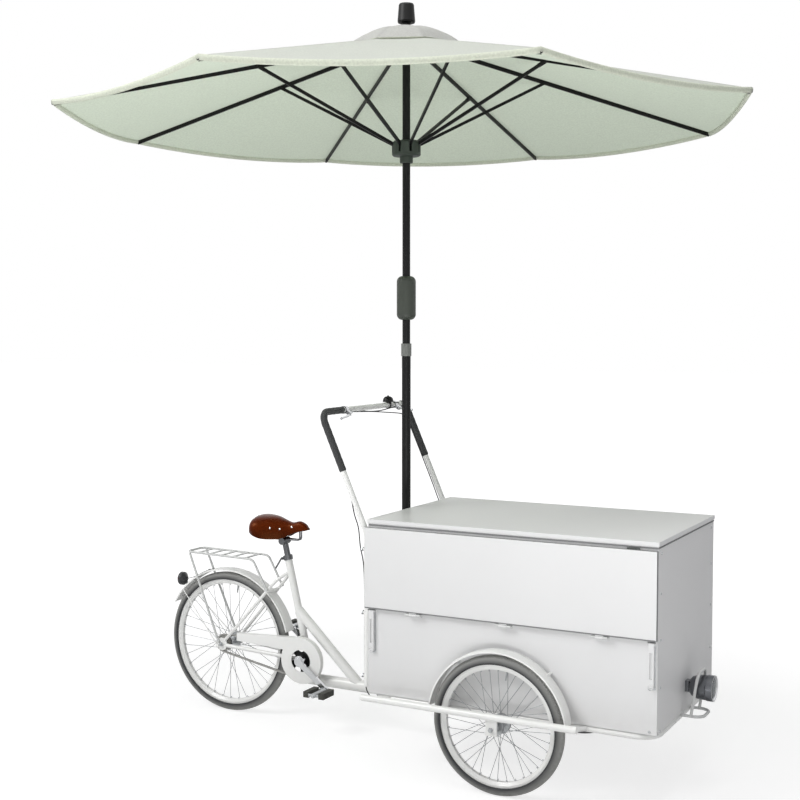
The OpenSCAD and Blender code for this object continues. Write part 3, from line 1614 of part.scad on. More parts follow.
module front_wheel_left() {
    color("white") mirror([0, 1, 0]) front_wheel();
}

chassis();
front_axles();
box_frame();
box_panels();
front_fenders();
box_fittings();
headlamp();
headlamp_lens();
headlamp_guard();
push_bar();
grips();
bar_fittings();
brake_cables();
mast_lower();
lid();
side_flap();
flap_arm_rear();
flap_arm_front();
brake_lever_right();
brake_lever_left();
mast_upper();
mast_grip();
crown();
canopy();
runner();
rib_1();
rib_2();
rib_3();
rib_4();
rib_5();
rib_6();
rib_7();
rib_8();
stretcher_1();
stretcher_2();
stretcher_3();
stretcher_4();
stretcher_5();
stretcher_6();
stretcher_7();
stretcher_8();
front_tyre_right();
front_wheel_right();
front_tyre_left();
front_wheel_left();
rear_frame();
rear_axle();
chain_case();
rear_fender();
rear_rack();
tail_lamp();
seat_post();
saddle();
rear_tyre();
rear_wheel();
sprocket();
chain();
crankset();
pedal_right();
pedal_left();
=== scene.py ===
# %% [markdown]
# # Dressing a bicycle food cart
#
# The solids of this cart were drawn first: box, chassis, push bar, rear bicycle, parasol linkage.
# They arrive here as a frame of named pieces that already sit in the right place and already
# move. This lesson adds what a solid modeller leaves out: cloth, leather, foam, cables, small
# hardware, paint and light.
#
# Work through it from top to bottom. Every cell prints what it made, so a change shows up at once.

# %% [markdown]
# ## 1. Load the frame
#
# Blender opens with a cube, a lamp and a camera, so those go first. After the load, each solid is
# an object whose place is stored in its own vertices. That is handy: *Object* texture coordinates
# are then real metres, measured from the ground under the mast, and a 2 mm grain can be asked for
# as 2 mm.

import json
import math

import bpy
from mathutils import Matrix, Vector

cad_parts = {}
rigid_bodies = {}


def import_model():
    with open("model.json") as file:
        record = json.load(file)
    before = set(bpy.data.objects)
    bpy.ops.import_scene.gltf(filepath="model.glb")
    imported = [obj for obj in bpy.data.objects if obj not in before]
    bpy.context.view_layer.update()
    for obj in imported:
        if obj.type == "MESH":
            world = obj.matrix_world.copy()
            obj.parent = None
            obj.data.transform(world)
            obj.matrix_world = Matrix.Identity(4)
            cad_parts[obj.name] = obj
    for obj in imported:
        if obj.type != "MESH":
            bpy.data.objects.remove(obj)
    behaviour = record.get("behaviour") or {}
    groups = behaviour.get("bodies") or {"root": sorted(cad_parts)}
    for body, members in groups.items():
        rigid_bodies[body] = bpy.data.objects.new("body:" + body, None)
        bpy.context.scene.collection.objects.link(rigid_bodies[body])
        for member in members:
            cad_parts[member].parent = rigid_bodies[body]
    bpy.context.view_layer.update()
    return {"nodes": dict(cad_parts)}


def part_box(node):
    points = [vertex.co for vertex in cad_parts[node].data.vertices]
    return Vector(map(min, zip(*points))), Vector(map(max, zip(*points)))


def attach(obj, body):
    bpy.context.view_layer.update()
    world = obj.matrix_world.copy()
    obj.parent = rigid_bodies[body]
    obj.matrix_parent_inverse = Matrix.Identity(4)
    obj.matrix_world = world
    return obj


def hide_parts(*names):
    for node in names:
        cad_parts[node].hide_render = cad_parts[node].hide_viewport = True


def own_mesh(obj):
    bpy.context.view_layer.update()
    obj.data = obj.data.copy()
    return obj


for leftover in list(bpy.data.objects):
    bpy.data.objects.remove(leftover)

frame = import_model()
nodes = frame["nodes"]
scene = bpy.context.scene

# %% [markdown]
# ## 2. The camera
#
# The camera comes before any modelling, because everything is judged through it. It was found by
# matching the two axle lines, the mast and the box corners of the photograph: a normal lens, a
# little above the lid, looking at the front right corner. With the camera fixed, a wrong size
# shows as a wrong outline. The Standard view transform keeps colours as they are written.

# %% Place the camera
look_down, look_round = 3.3042, 28.1437  # degrees

camera_data = bpy.data.cameras.new("camera")
camera_data.sensor_width = 36
camera_data.lens = 58.484
camera_data.clip_end = 100
camera = bpy.data.objects.new("camera", camera_data)
camera.location = (2.4257, -4.5879, 1.6779)
camera.rotation_euler = (math.radians(90 - look_down), 0, math.radians(look_round))
scene.collection.objects.link(camera)
scene.camera = camera
scene.view_settings.view_transform = "Standard"
print("camera", [round(value, 3) for value in camera.location], "lens", camera_data.lens, "mm")

# %% [markdown]
# ## 3. Tools for materials
#
# `linear` turns a colour as a picture editor shows it (sRGB hex) into the linear values that the
# shader works with. Skipping this step is the usual reason for washed out colours.
#
# `add` makes any node. Its inputs are a dictionary: a plain value is typed into the socket, a
# socket is linked to it. One function is enough for every kind of node.

# %% Colours, scales and nodes


def linear(hex_code):
    """sRGB hex such as #E8E8E8 as linear RGBA."""
    parts = [int(hex_code[i : i + 2], 16) / 255 for i in (1, 3, 5)]
    return [p / 12.92 if p <= 0.04045 else ((p + 0.055) / 1.055) ** 2.4 for p in parts] + [1]


def scale_for(size_mm):
    """Texture scale that gives features of about this size."""
    return 1000 / size_mm


def add(tree, kind, inputs=None, **settings):
    """Adds a node, sets its settings, and types in or links its inputs."""
    node = tree.nodes.new(kind)
    for name, value in settings.items():
        setattr(node, name, value)
    for name, value in (inputs or {}).items():
        if isinstance(value, bpy.types.NodeSocket):
            tree.links.new(value, node.inputs[name])
        else:
            node.inputs[name].default_value = value
    return node


print("light grey #DDDDDD is", round(linear("#DDDDDD")[0], 3), "in linear light")

# %% [markdown]
# `finish_of` makes a complete base finish: broad clouds that shift colour and roughness a little,
# a fine grain that becomes bump, and, if asked, rounded edges. No painted or moulded surface is
# one flat colour, and no edge is perfectly sharp; the Bevel node rounds edges while shading,
# without touching the mesh.

# %% The base finish


def finish_of(name, hex_code, rough, grain_mm, depth_mm, tint, tint_mm, round_mm=0, **sockets):
    """Material with clouded colour and roughness, fine grain and, if asked, rounded edges."""
    material = bpy.data.materials.new(name)
    material.use_nodes = True
    tree = material.node_tree
    shader = tree.nodes["Principled BSDF"]
    place = add(tree, "ShaderNodeTexCoord").outputs["Object"]
    cloud = add(tree, "ShaderNodeTexNoise",
                {"Vector": place, "Scale": scale_for(tint_mm), "Detail": 4}).outputs[0]
    grain = add(tree, "ShaderNodeTexNoise",
                {"Vector": place, "Scale": scale_for(grain_mm), "Detail": 2}).outputs[0]
    base = linear(hex_code)[:3]
    low = [value * (1 - tint) for value in base] + [1]
    high = [min(value * (1 + tint), 1) for value in base] + [1]
    colour = add(tree, "ShaderNodeMix", {0: cloud, 6: low, 7: high}, data_type="RGBA").outputs[2]
    shine = add(tree, "ShaderNodeMapRange", {0: cloud, 3: rough * 0.8, 4: rough * 1.2})
    bump = add(tree, "ShaderNodeBump", {"Distance": depth_mm / 1000, "Height": grain})
    if round_mm:
        edge = add(tree, "ShaderNodeBevel", {"Radius": round_mm / 1000}, samples=6)
        tree.links.new(edge.outputs[0], bump.inputs["Normal"])
    tree.links.new(colour, shader.inputs["Base Color"])
    tree.links.new(shine.outputs[0], shader.inputs["Roughness"])
    tree.links.new(bump.outputs[0], shader.inputs["Normal"])
    for socket, value in sockets.items():
        shader.inputs[socket.replace("_", " ")].default_value = value
    return {"material": material, "tree": tree, "shader": shader, "place": place,
            "colour": colour, "bump": bump, "grain": grain}


print("a grain of 4 mm takes texture scale", scale_for(4))

# %% [markdown]
# Some finishes need more than clouds and grain: ribs, tread, dust. These could be wired by hand
# each time, but the same three steps come back: `ripple` is a regular wave of a given spacing,
# `carve` adds a relief to the grain, and `stain` mixes in a second colour where a mask is high.

# %% Waves, relief and stains


def ripple(tree, along_it, spacing_mm):
    """Wave over a coordinate in metres, with this distance from crest to crest."""
    turn = add(tree, "ShaderNodeMath", {0: along_it, 1: 2 * math.pi * scale_for(spacing_mm)},
               operation="MULTIPLY")
    return add(tree, "ShaderNodeMath", {0: turn.outputs[0]}, operation="SINE").outputs[0]


def carve(finish, relief, strength):
    """Adds a relief, so many times as high as the grain, to the bump of a finish."""
    height = add(finish["tree"], "ShaderNodeMath", {0: relief, 1: strength, 2: finish["grain"]},
                 operation="MULTIPLY_ADD")
    finish["tree"].links.new(height.outputs[0], finish["bump"].inputs["Height"])


def stain(finish, share, hex_code):
    """Mixes a second colour into a finish where share is high."""
    mixed = add(finish["tree"], "ShaderNodeMix",
                {0: share, 6: finish["colour"], 7: linear(hex_code)}, data_type="RGBA")
    finish["tree"].links.new(mixed.outputs[2], finish["shader"].inputs["Base Color"])


print("ribs 6 mm apart turn", round(2 * math.pi * scale_for(6)), "radians in a metre")

# %% [markdown]
# ## 4. Paint, metal and plastic
#
# Most of the cart is white, and white needs care: in one flat colour, a broad sheet looks like
# card. The tubes carry a hard gloss enamel with a faint orange peel, the box a satin powder coat
# with a finer, sandy grain. Both come from the base finish; only its sizes change. Thin rods look
# greyer than broad tubes, because so much of what they show lies in shade; a greyer copy of the
# enamel paints that shade on them, and a greyer copy of the powder paints shade on the lid top.

# %% Paints
# Sprayed and baked: a clear, slightly wavy highlight along every tube.
enamel = finish_of("white_gloss_enamel", "#F1F1EF", rough=0.3, grain_mm=4, depth_mm=0.008,
                   tint=0.025, tint_mm=220, round_mm=0.8, Coat_Weight=0.2)
# The same enamel on rods and hinge knuckles, a shade darker: painted shade, for the shaded sides
# of thin rods and for the shadow under the flap where the knuckles sit.
shaded_rod_enamel = finish_of("gloss_enamel_painted_shade", "#CFD0CF", rough=0.3, grain_mm=4, depth_mm=0.008,
                       tint=0.03, tint_mm=120, round_mm=0.6, Coat_Weight=0.2)
# Melted powder on sheet: even and soft, with a blurred sheen and no mirror image.
powder = finish_of("white_satin_powder_coat", "#E2E2E2", rough=0.42, grain_mm=0.9, depth_mm=0.02,
                   tint=0.02, tint_mm=420, round_mm=1.6)
# The same powder on top of the lid, a step greyer: painted shade, as the top takes less light than
# the sides.
shaded_lid_powder = finish_of("satin_powder_coat_painted_shade", "#DDDDDC", rough=0.4, grain_mm=0.9,
                     depth_mm=0.02, tint=0.02, tint_mm=420, round_mm=1.6)
# Powder coat on the parasol: nearly no colour, and one soft line of light down each tube.
black = finish_of("satin_black_powder_coat", "#080809", rough=0.44, grain_mm=1.2, depth_mm=0.03,
                  tint=0.12, tint_mm=180, round_mm=0.8, Specular_IOR_Level=0.28)


def names_of(*finishes):
    return ", ".join(finish["material"].name for finish in finishes)


print("paints:", names_of(enamel, shaded_rod_enamel, powder, shaded_lid_powder, black))

# %% [markdown]
# Bare metals differ by roughness far more than by colour. Zinc plate is cloudy, chrome is clean
# and smooth, turned aluminium sits between them. One chrome for all would be quicker, but small
# parts are told apart by just this. They keep the default IOR.

# %% Metals
# Turned and left bare: pale, with a broad highlight.
aluminium = finish_of("satin_turned_aluminium", "#B9BBBD", rough=0.34, grain_mm=1.5, depth_mm=0.02,
                      tint=0.06, tint_mm=40, round_mm=0.5, Metallic=1)
# Dipped in a plating bath: small cloudy patches that break up every reflection.
zinc = finish_of("zinc_plated_steel", "#B4B6B8", rough=0.38, grain_mm=2.5, depth_mm=0.03,
                 tint=0.1, tint_mm=14, round_mm=0.5, Metallic=1)
# Polished and plated: sharp reflections, dark beside bright.
chrome = finish_of("polished_chrome", "#D3D4D6", rough=0.14, grain_mm=12, depth_mm=0.01,
                   tint=0.03, tint_mm=60, round_mm=0.6, Metallic=1)
# Dark chrome plate on the head lamp: reflects, but stays dark.
lamp_steel = finish_of("dark_chromed_steel", "#74767A", rough=0.22, grain_mm=8, depth_mm=0.01,
                       tint=0.1, tint_mm=60, round_mm=0.8, Metallic=1)
# Drawn through a die: thin grey lines that flash where they face the light.
spoke_steel = finish_of("drawn_stainless_steel", "#97999B", rough=0.32, grain_mm=3, depth_mm=0.01,
                        tint=0.06, tint_mm=30, Metallic=1)
# Rolled and oiled: patches of clean and greasy steel, link by link.
chain_steel = finish_of("oiled_rolled_steel", "#A5A4A1", rough=0.36, grain_mm=1.5, depth_mm=0.03,
                        tint=0.25, tint_mm=9, round_mm=0.3, Metallic=1)
# Drawn tube, scratched by sliding: dull and uneven.
post_steel = finish_of("dull_drawn_steel", "#6B6C6E", rough=0.3, grain_mm=2, depth_mm=0.02,
                       tint=0.12, tint_mm=25, round_mm=0.4, Metallic=1)
print("metals:", names_of(aluminium, zinc, chrome, lamp_steel, spoke_steel, chain_steel,
                          post_steel))

# %% [markdown]
# Plastics and rubbers take their surface from the mould or the die. A mould is sparked to a fine
# texture of under a millimetre, which hides scratches; what comes through a die is smooth and dull.

# %% Plastics and rubbers
# Sparked mould: matt, with soft light on the rounded ends of the mast grip.
grey_plastic = finish_of("mid_grey_moulded_plastic", "#3C413A", rough=0.48, grain_mm=0.8,
                         depth_mm=0.03, tint=0.05, tint_mm=60, round_mm=1)
# The same mould texture in a lighter grey: the one pale band on the black mast.
collar_plastic = finish_of("light_grey_moulded_plastic", "#757774", rough=0.45, grain_mm=0.8,
                           depth_mm=0.03, tint=0.05, tint_mm=60, round_mm=1)
# Sparked mould again, dark grey; its green tint is painted reflection of the lining above it.
runner_plastic = finish_of("dark_grey_plastic_painted_green_reflection", "#2E372F", rough=0.5, grain_mm=0.8,
                           depth_mm=0.03, tint=0.06, tint_mm=50, round_mm=1)
# Smooth mould: a small bright highlight on a dark body.
lamp_plastic = finish_of("dark_grey_gloss_moulded_plastic", "#2A2C2F", rough=0.3, grain_mm=1.5,
                         depth_mm=0.02, tint=0.08, tint_mm=70, round_mm=0.8)
# Clear red plastic with soft prisms inside: glossy skin over an uneven glow.
red_lens = finish_of("red_moulded_acrylic", "#8E1512", rough=0.15, grain_mm=6, depth_mm=0.1,
                     tint=0.1, tint_mm=20, Coat_Weight=0.6)
# Drawn over the cable: plain black with a faint sheen.
sheath = finish_of("black_extruded_sheath", "#141415", rough=0.45, grain_mm=1, depth_mm=0.03,
                   tint=0.1, tint_mm=40)
# Soft rubber for the lid seal; its mid grey is painted shade for the gap under the lid. It takes
# the light without a highlight.
shade_seal_rubber = finish_of("grey_rubber_painted_shade", "#7E7F80", rough=0.7, grain_mm=1.5, depth_mm=0.05,
                        tint=0.1, tint_mm=60)
# Grey for the edges of the flap and the strip along its foot: painted shade where the flap
# stands proud of the wall.
shade_trim = finish_of("grey_painted_shade_trim", "#7C7D7E", rough=0.5, grain_mm=1.2, depth_mm=0.03,
                      tint=0.06, tint_mm=90)
# Pressed in a mould and scuffed by shoes: dark, with grey in it.
pedal_rubber = finish_of("dark_moulded_pedal_rubber", "#3E3E39", rough=0.65, grain_mm=1.2,
                         depth_mm=0.05, tint=0.12, tint_mm=30, round_mm=0.8)
print("plastics:", names_of(grey_plastic, collar_plastic, runner_plastic, lamp_plastic, red_lens))
print("rubbers and sheath:", names_of(sheath, shade_seal_rubber, shade_trim, pedal_rubber))

# %% [markdown]
# Pedal rubber has ribs, and a rib is easier to draw than to model: a wave across the pedal, 6 mm
# from crest to crest, joins the grain. The paint gets a little road dust near the ground, because
# a clean white box looks unused: the mask grows towards the ground and breaks up with noise.

# %% Ribs and road dust
rib_mm, rib_strength = 6, 12.0
across = add(pedal_rubber["tree"], "ShaderNodeSeparateXYZ", {0: pedal_rubber["place"]}).outputs[1]
carve(pedal_rubber, ripple(pedal_rubber["tree"], across, rib_mm), rib_strength)

dust_colour, dust_most, dust_speck_mm = "#A39C8E", 0.16, 28
for paint, foot, reach in ((powder, 0.285, 0.12), (enamel, 0.18, 0.14)):
    tree = paint["tree"]
    up = add(tree, "ShaderNodeSeparateXYZ", {0: paint["place"]}).outputs[2]
    low_down = add(tree, "ShaderNodeMapRange",
                   {0: up, 1: foot, 2: foot + reach, 3: dust_most, 4: 0.0})
    specks = add(tree, "ShaderNodeTexNoise",
                 {"Vector": paint["place"], "Scale": scale_for(dust_speck_mm), "Detail": 6})
    dust = add(tree, "ShaderNodeMath", {0: low_down.outputs[0], 1: specks.outputs[0]},
               operation="MULTIPLY")
    stain(paint, dust.outputs[0], dust_colour)
print("ribs on the pedals, dust on", powder["material"].name, "and", enamel["material"].name)

# %% [markdown]
# ## 5. Tyres
#
# The solid tyre already has its three grooves. What is missing are the short cross cuts in the
# tread and the fine rings on the sidewall. Cut into the mesh they would cost many thousands of
# faces, so they are drawn as relief. Both follow from polar coordinates about the axle: the angle
# gives the cuts, the radius gives the rings. One function makes a material for each axle. The cuts
# are 12 mm apart and lean a little, about as on the real tyre; the rings are drawn 4 mm apart,
# coarser than real ones, so that they still show.

# %% Rubber for one wheel
cut_spacing, cut_lean, ring_mm, tread_strength = 0.012, 120.0, 4, 14.0
# Tread, sidewall, and road dust with painted light on the tread: first and last depth below the
# tread in metres, and the mask at both.
tyre_zones = ((0.009, 0.005, 0.0, 1.0), (0.02, 0.012, 0.35, 0.0), (0.028, 0.002, 0.0, 1.0))


def tyre_rubber(name, axle, radius):
    """Vulcanised in a mould: dark sidewall with rings, tread with cuts, road dust and painted
    light.
    """
    rubber = finish_of(name, "#323335", rough=0.72, grain_mm=1.2, depth_mm=0.05, tint=0.1,
                       tint_mm=45)
    tree = rubber["tree"]
    out = add(tree, "ShaderNodeVectorMath", {0: rubber["place"], 1: axle}, operation="SUBTRACT")
    x, y, z = add(tree, "ShaderNodeSeparateXYZ", {0: out.outputs[0]}).outputs
    angle = add(tree, "ShaderNodeMath", {0: z, 1: x}, operation="ARCTAN2").outputs[0]
    flat = add(tree, "ShaderNodeCombineXYZ", {0: x, 2: z}).outputs[0]
    reach = add(tree, "ShaderNodeVectorMath", {0: flat}, operation="LENGTH").outputs[1]
    tread, wall, dust_and_light = [
        add(tree, "ShaderNodeMapRange",
            {0: reach, 1: radius - first, 2: radius - last, 3: at_first, 4: at_last}).outputs[0]
        for first, last, at_first, at_last in tyre_zones]

    lean = add(tree, "ShaderNodeMath", {0: y, 1: cut_lean}, operation="MULTIPLY").outputs[0]
    cuts = float(round(2 * math.pi * radius / cut_spacing))
    turn = add(tree, "ShaderNodeMath", {0: angle, 1: cuts, 2: lean}, operation="MULTIPLY_ADD")
    cut = add(tree, "ShaderNodeMath", {0: turn.outputs[0]}, operation="SINE")
    tread_cut = add(tree, "ShaderNodeMath", {0: cut.outputs[0], 1: tread}, operation="MULTIPLY")
    rings = add(tree, "ShaderNodeMath", {0: ripple(tree, reach, ring_mm), 1: wall},
                operation="MULTIPLY")
    relief = add(tree, "ShaderNodeMath", {0: tread_cut.outputs[0], 1: rings.outputs[0]},
                 operation="ADD")
    carve(rubber, relief.outputs[0], tread_strength)
    # Grey on the outer tread: road dust, and painted light where the tread faces the bright
    # surroundings.
    stain(rubber, dust_and_light, "#A2A29F")
    return rubber


wheels = {
    "right": {"axle": (0.584, -0.404, 0.253), "radius": 0.253, "tyre": "front_tyre_right",
              "metal": "front_wheel_right", "body": "wheel_front_right"},
    "left": {"axle": (0.584, 0.404, 0.253), "radius": 0.253, "tyre": "front_tyre_left",
             "metal": "front_wheel_left", "body": "wheel_front_left"},
    "rear": {"axle": (-0.866, 0, 0.3035), "radius": 0.3035, "tyre": "rear_tyre",
             "metal": "rear_wheel", "body": "wheel_rear"},
}
for side, wheel in wheels.items():
    wheel["rubber"] = tyre_rubber("moulded_tyre_rubber_" + side, wheel["axle"], wheel["radius"])
print(len(wheels), "tyre materials")

# %% [markdown]
# ## 6. Dress the solids
#
# A solid keeps its mesh and only gets materials. Where one solid carries two finishes, it could be
# cut into two objects, but then it would no longer be the solid that moves. Instead each face is
# given the index of its material, by where it lies or which way it faces. On the box, the edges of
# the flap are grey as painted shade, the top of the lid is greyer as painted shade, and the
# knuckles of the flap hinge are a shaded grey, painted to sit in the shadow under the flap.

# %% Chassis, box and push bar


def dress(name, *finishes, pick=None):
    """Gives a solid its materials. pick(centre of a face, normal) says which one a face takes."""
    mesh = nodes[name].data
    mesh.materials.clear()
    for finish in finishes:
        mesh.materials.append(finish["material"])
    for face in mesh.polygons:
        face.material_index = pick(face.center, face.normal) if pick else 0


def is_lid_top(at, normal):
    """Faces that look up, on the highest level of the lid."""
    return normal.z > 0.9 and at.z > 0.94


def is_flap_hinge(at, normal):
    """Faces outside the right wall, at the height of the flap's foot."""
    return at.y < -0.35 and 0.58 < at.z < 0.64


bell_y, bell_half = 0.192, 0.022
for name in ("chassis", "push_bar", "front_fenders", "chain_case", "rear_fender"):
    dress(name, enamel)
# Rack and lamp guard in the greyer enamel: painted shade on thin rods.
for name in ("headlamp_guard", "rear_rack"):
    dress(name, shaded_rod_enamel)
for name in ("box_panels", "flap_arm_rear", "flap_arm_front"):
    dress(name, powder)
# Edges of the flap in the grey: painted shade on the edges that face away from the light.
dress("side_flap", powder, shade_trim, pick=lambda at, normal: abs(normal.y) <= 0.5)
# The top of the lid takes the greyer powder: painted shade.
dress("lid", powder, shaded_lid_powder, pick=is_lid_top)
dress("box_frame", aluminium)
# Flap hinge knuckles in the greyer enamel: painted shade, to sit in the shadow under the flap.
dress("box_fittings", zinc, shaded_rod_enamel, pick=is_flap_hinge)
dress("bar_fittings", chrome, black, pick=lambda at, normal: abs(at.y - bell_y) < bell_half)
for name in ("brake_lever_right", "brake_lever_left"):
    dress(name, chrome)
for name in ("front_axles", "rear_axle"):
    dress(name, zinc)
print("box in", powder["material"].name, "and tubes in", enamel["material"].name)

# %% [markdown]
# The parasol is black from the socket to the finial, apart from the grip, the runner and the pale
# collar that clamps the upper mast in the lower one.

# %% Parasol
collar_z = 1.5535
for name in ("mast_upper", "crown"):
    dress(name, black)
dress("mast_lower", black, collar_plastic, pick=lambda at, normal: at.z > collar_z)
for k in range(1, 9):
    dress(f"rib_{k}", black)
    dress(f"stretcher_{k}", black)
dress("mast_grip", grey_plastic)
# The green in the runner's colour is painted reflection of the lining above it.
dress("runner", runner_plastic)
print("8 ribs and 8 stretchers in", names_of(black))

# %% [markdown]
# On the bicycle half, several solids hold two materials: the frame tube carries a steel seat
# clamp with its lever, the crank is chrome in front of a black ring, a pedal has two rubber blocks
# on an aluminium cage, and the tail lamp ends in a red lens. In a wheel, the distance from the
# axle tells rim, spokes and hub apart.

# %% Bicycle and wheels
clamp_z, pedal_cage, lens_depth, ring_y = 0.6805, 0.0235, 0.006, (-0.06, -0.03)
rim_depth, hub_r = 0.0525, 0.0365


def is_seat_clamp(at, normal):
    """Faces of the clamp on top of the seat tube, or of the lever behind it."""
    lever = at.x < -0.586 and abs(at.y + 0.018) < 0.009 and 0.64 < at.z < 0.7
    return lever or at.z > clamp_z


dress("seat_post", post_steel)
dress("rear_frame", enamel, post_steel, pick=is_seat_clamp)
dress("crankset", chrome, black, pick=lambda at, normal: ring_y[0] < at.y < ring_y[1])
for name in ("sprocket", "chain"):
    dress(name, chain_steel)
for name in ("pedal_right", "pedal_left"):
    pedal_x = (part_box(name)[0][0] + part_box(name)[1][0]) / 2
    dress(name, pedal_rubber, aluminium,
          pick=lambda at, normal: abs(at.x - pedal_x) <= pedal_cage)
tail_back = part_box("tail_lamp")[0][0]
dress("tail_lamp", lamp_plastic, red_lens, pick=lambda at, normal: at.x < tail_back + lens_depth)

for wheel in wheels.values():
    axle_x, _, axle_z = wheel["axle"]
    rim_in = wheel["radius"] - rim_depth

    def rim_spoke_or_hub(at, normal):
        reach = math.hypot(at.x - axle_x, at.z - axle_z)
        return 0 if reach > rim_in else 1 if reach > hub_r else 2

    dress(wheel["metal"], enamel, spoke_steel, aluminium, pick=rim_spoke_or_hub)
    dress(wheel["tyre"], wheel["rubber"])
print("dressed", len([o for o in nodes.values() if o.data.materials]), "solids")

# %% [markdown]
# ## 7. Tools for new pieces
#
# New pieces are built as lists of points and faces. Blender has modifiers and bevelled curves for
# this, but plain lists give full control over where every point goes. `bridge` joins rings by
# faces, and `sweep` pulls a ring along a path to make a tube.

# %% Tubes along a path


def mm(*values):
    return Vector(values) / 1000


def ring_frame(way):
    """Two directions square to a path."""
    side = way.cross(Vector((0, 0, 1)) if abs(way.z) < 0.9 else Vector((1, 0, 0))).normalized()
    return side, side.cross(way)


def heading(path, i):
    """Direction of a path at one of its points."""
    return (path[min(i + 1, len(path) - 1)] - path[max(i - 1, 0)]).normalized()


def bridge(rings, sides):
    """Faces between rings of equal length, with the first and last ring filled."""
    faces = []
    for i in range(rings - 1):
        for j in range(sides):
            a, b = i * sides + j, i * sides + (j + 1) % sides
            faces.append((a, b, b + sides, a + sides))
    faces.append(tuple(range(sides - 1, -1, -1)))
    faces.append(tuple(range((rings - 1) * sides, rings * sides)))
    return faces


def sweep(path, radii, sides):
    """Tube along a path, with one radius for each point. The ring is carried without twist."""
    points = []
    side = None
    for i, at in enumerate(path):
        way = heading(path, i)
        side = ring_frame(way)[0] if side is None else (side - way * side.dot(way)).normalized()
        up = side.cross(way)
        for j in range(sides):
            turn = -2 * math.pi * j / sides
            points.append(at + radii[i] * (math.cos(turn) * side + math.sin(turn) * up))
    return points, bridge(len(path), sides)


print("a tube of 8 rings and 18 sides has", len(bridge(8, 18)), "faces")

# %% [markdown]
# `revolve` turns a profile about an axis, as a lathe does. Nearly all small hardware is made so.
# `gather` puts several shapes into one list, so that all the screws of a body are one object.

# %% Turned shapes
least_r = 0.01  # a ring on the axis keeps this radius, in millimetres, so that no points coincide


def revolve(profile, at, way, sides):
    """Solid of revolution. The profile is (radius, distance along the axis) in millimetres."""
    way = Vector(way).normalized()
    side, up = ring_frame(way)
    points = []
    for radius, far in profile:
        for j in range(sides):
            turn = -2 * math.pi * j / sides
            points.append(Vector(at) + way * far / 1000
                          + max(radius, least_r) / 1000
                          * (math.cos(turn) * side + math.sin(turn) * up))
    return points, bridge(len(profile), sides)


def gather(parts):
    """Several lists of points and faces as one."""
    points, faces = [], []
    for part_points, part_faces in parts:
        faces += [tuple(i + len(points) for i in face) for face in part_faces]
        points += part_points
    return points, faces


print("a cone has", len(revolve([(5, 0), (0, 9)], (0, 0, 0), (0, 0, 1), 12)[0]), "points")

# %% [markdown]
# `make_piece` turns such a list into an object, ties it to the body that it moves with and names
# the finish it belongs to. `along` draws a smooth curve through given points, and `between` is the
# formula of that curve, which the saddle uses again.

# %% Smooth curves and finished pieces


def make_piece(name, shape, finishes, body, picks=None, smooth_deg=40):
    """Object from points and faces, smooth but for edges sharper than smooth_deg."""
    mesh = bpy.data.meshes.new(name)
    mesh.from_pydata([tuple(p) for p in shape[0]], [], shape[1])
    for finish in finishes:
        mesh.materials.append(finish["material"])
    if picks:
        mesh.polygons.foreach_set("material_index", picks)
    mesh.shade_smooth()
    mesh.set_sharp_from_angle(angle=math.radians(smooth_deg))
    piece = bpy.data.objects.new(name, mesh)
    scene.collection.objects.link(piece)
    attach(piece, body)
    return piece


def between(a, b, c, d, t):
    """Point at share t from b to c, on a smooth curve through four points."""
    return 0.5 * (2 * b + (c - a) * t + (2 * a - 5 * b + 4 * c - d) * t * t
                  + (3 * b - a - 3 * c + d) * t ** 3)


def along(path, step):
    """The path as points a step apart, on a smooth curve through the given points."""
    fine = []
    last = len(path) - 1
    for i in range(last):
        a, b, c, d = path[max(i - 1, 0)], path[i], path[i + 1], path[min(i + 2, last)]
        count = max(2, round((c - b).length / step))
        fine += [between(a, b, c, d, j / count) for j in range(count)]
    return fine + [path[last]]


def length_of(path):
    return sum((b - a).length for a, b in zip(path, path[1:]))


print("half way from 1 to 2 the curve is at", between(0, 1, 2, 3, 0.5))

# %% [markdown]
# ## 8. Brake cables
#
# Each cable leaves its lever clamp, crosses to the other leg of the push bar, runs down behind
# that leg, and under the box to the drum brake. A curve with a bevel would do as well; a swept mesh
# is chosen because its length can be measured on the spot. The points are those of the solid cable,
# in millimetres, with a smooth curve through them. At both ends a steel ferrule caps the sheath.
# The cables are held all the way, so they are not free cords.

# %% Cables and ferrules
cable_r, cable_step = 0.0022, 0.012
cable_left = [
    (-166, -159, 1336), (-160, -130, 1334), (-156, -90, 1332), (-154, -30, 1329), (-153, 40, 1324),
    (-154, 120, 1317), (-156, 200, 1310), (-158, 260, 1302), (-158, 300, 1285), (-171, 328, 1285),
    (-135, 328, 1204), (-94, 328, 1113), (-58, 328, 1032), (-31, 328, 968), (-8, 326, 906),
    (-8, 325, 834), (-8, 325, 764), (-8, 325, 640), (-8, 325, 430), (-6, 323, 320), (2, 319, 272),
    (32, 315, 250), (90, 313, 246), (380, 321, 246), (474, 336, 247), (520, 357, 250),
    (549, 369, 253),
]
cable_right = [
    (-166, 233, 1336), (-168, 205, 1334), (-174, 160, 1329), (-182, 110, 1324), (-192, 50, 1324),
    (-203, -10, 1330), (-208, -70, 1338), (-208, -160, 1341), (-208, -240, 1340),
    (-205, -290, 1333), (-198, -314, 1315), (-171, -328, 1285), (-135, -328, 1204),
    (-96, -328, 1113), (-67, -328, 1028), (-51, -328, 959), (-34, -326, 906), (-26, -325, 834),
    (-12, -325, 764), (-8, -325, 640), (-8, -325, 430), (-6, -323, 320), (2, -319, 272),
    (32, -315, 250), (90, -313, 246), (380, -321, 246), (474, -336, 247), (520, -357, 250),
    (549, -369, 253),
]
ferrule = [(0, 0), (3, 0), (3.3, 1), (3.3, 11), (2.7, 12.5), (2.7, 15), (2.3, 16)]
ferrules = []
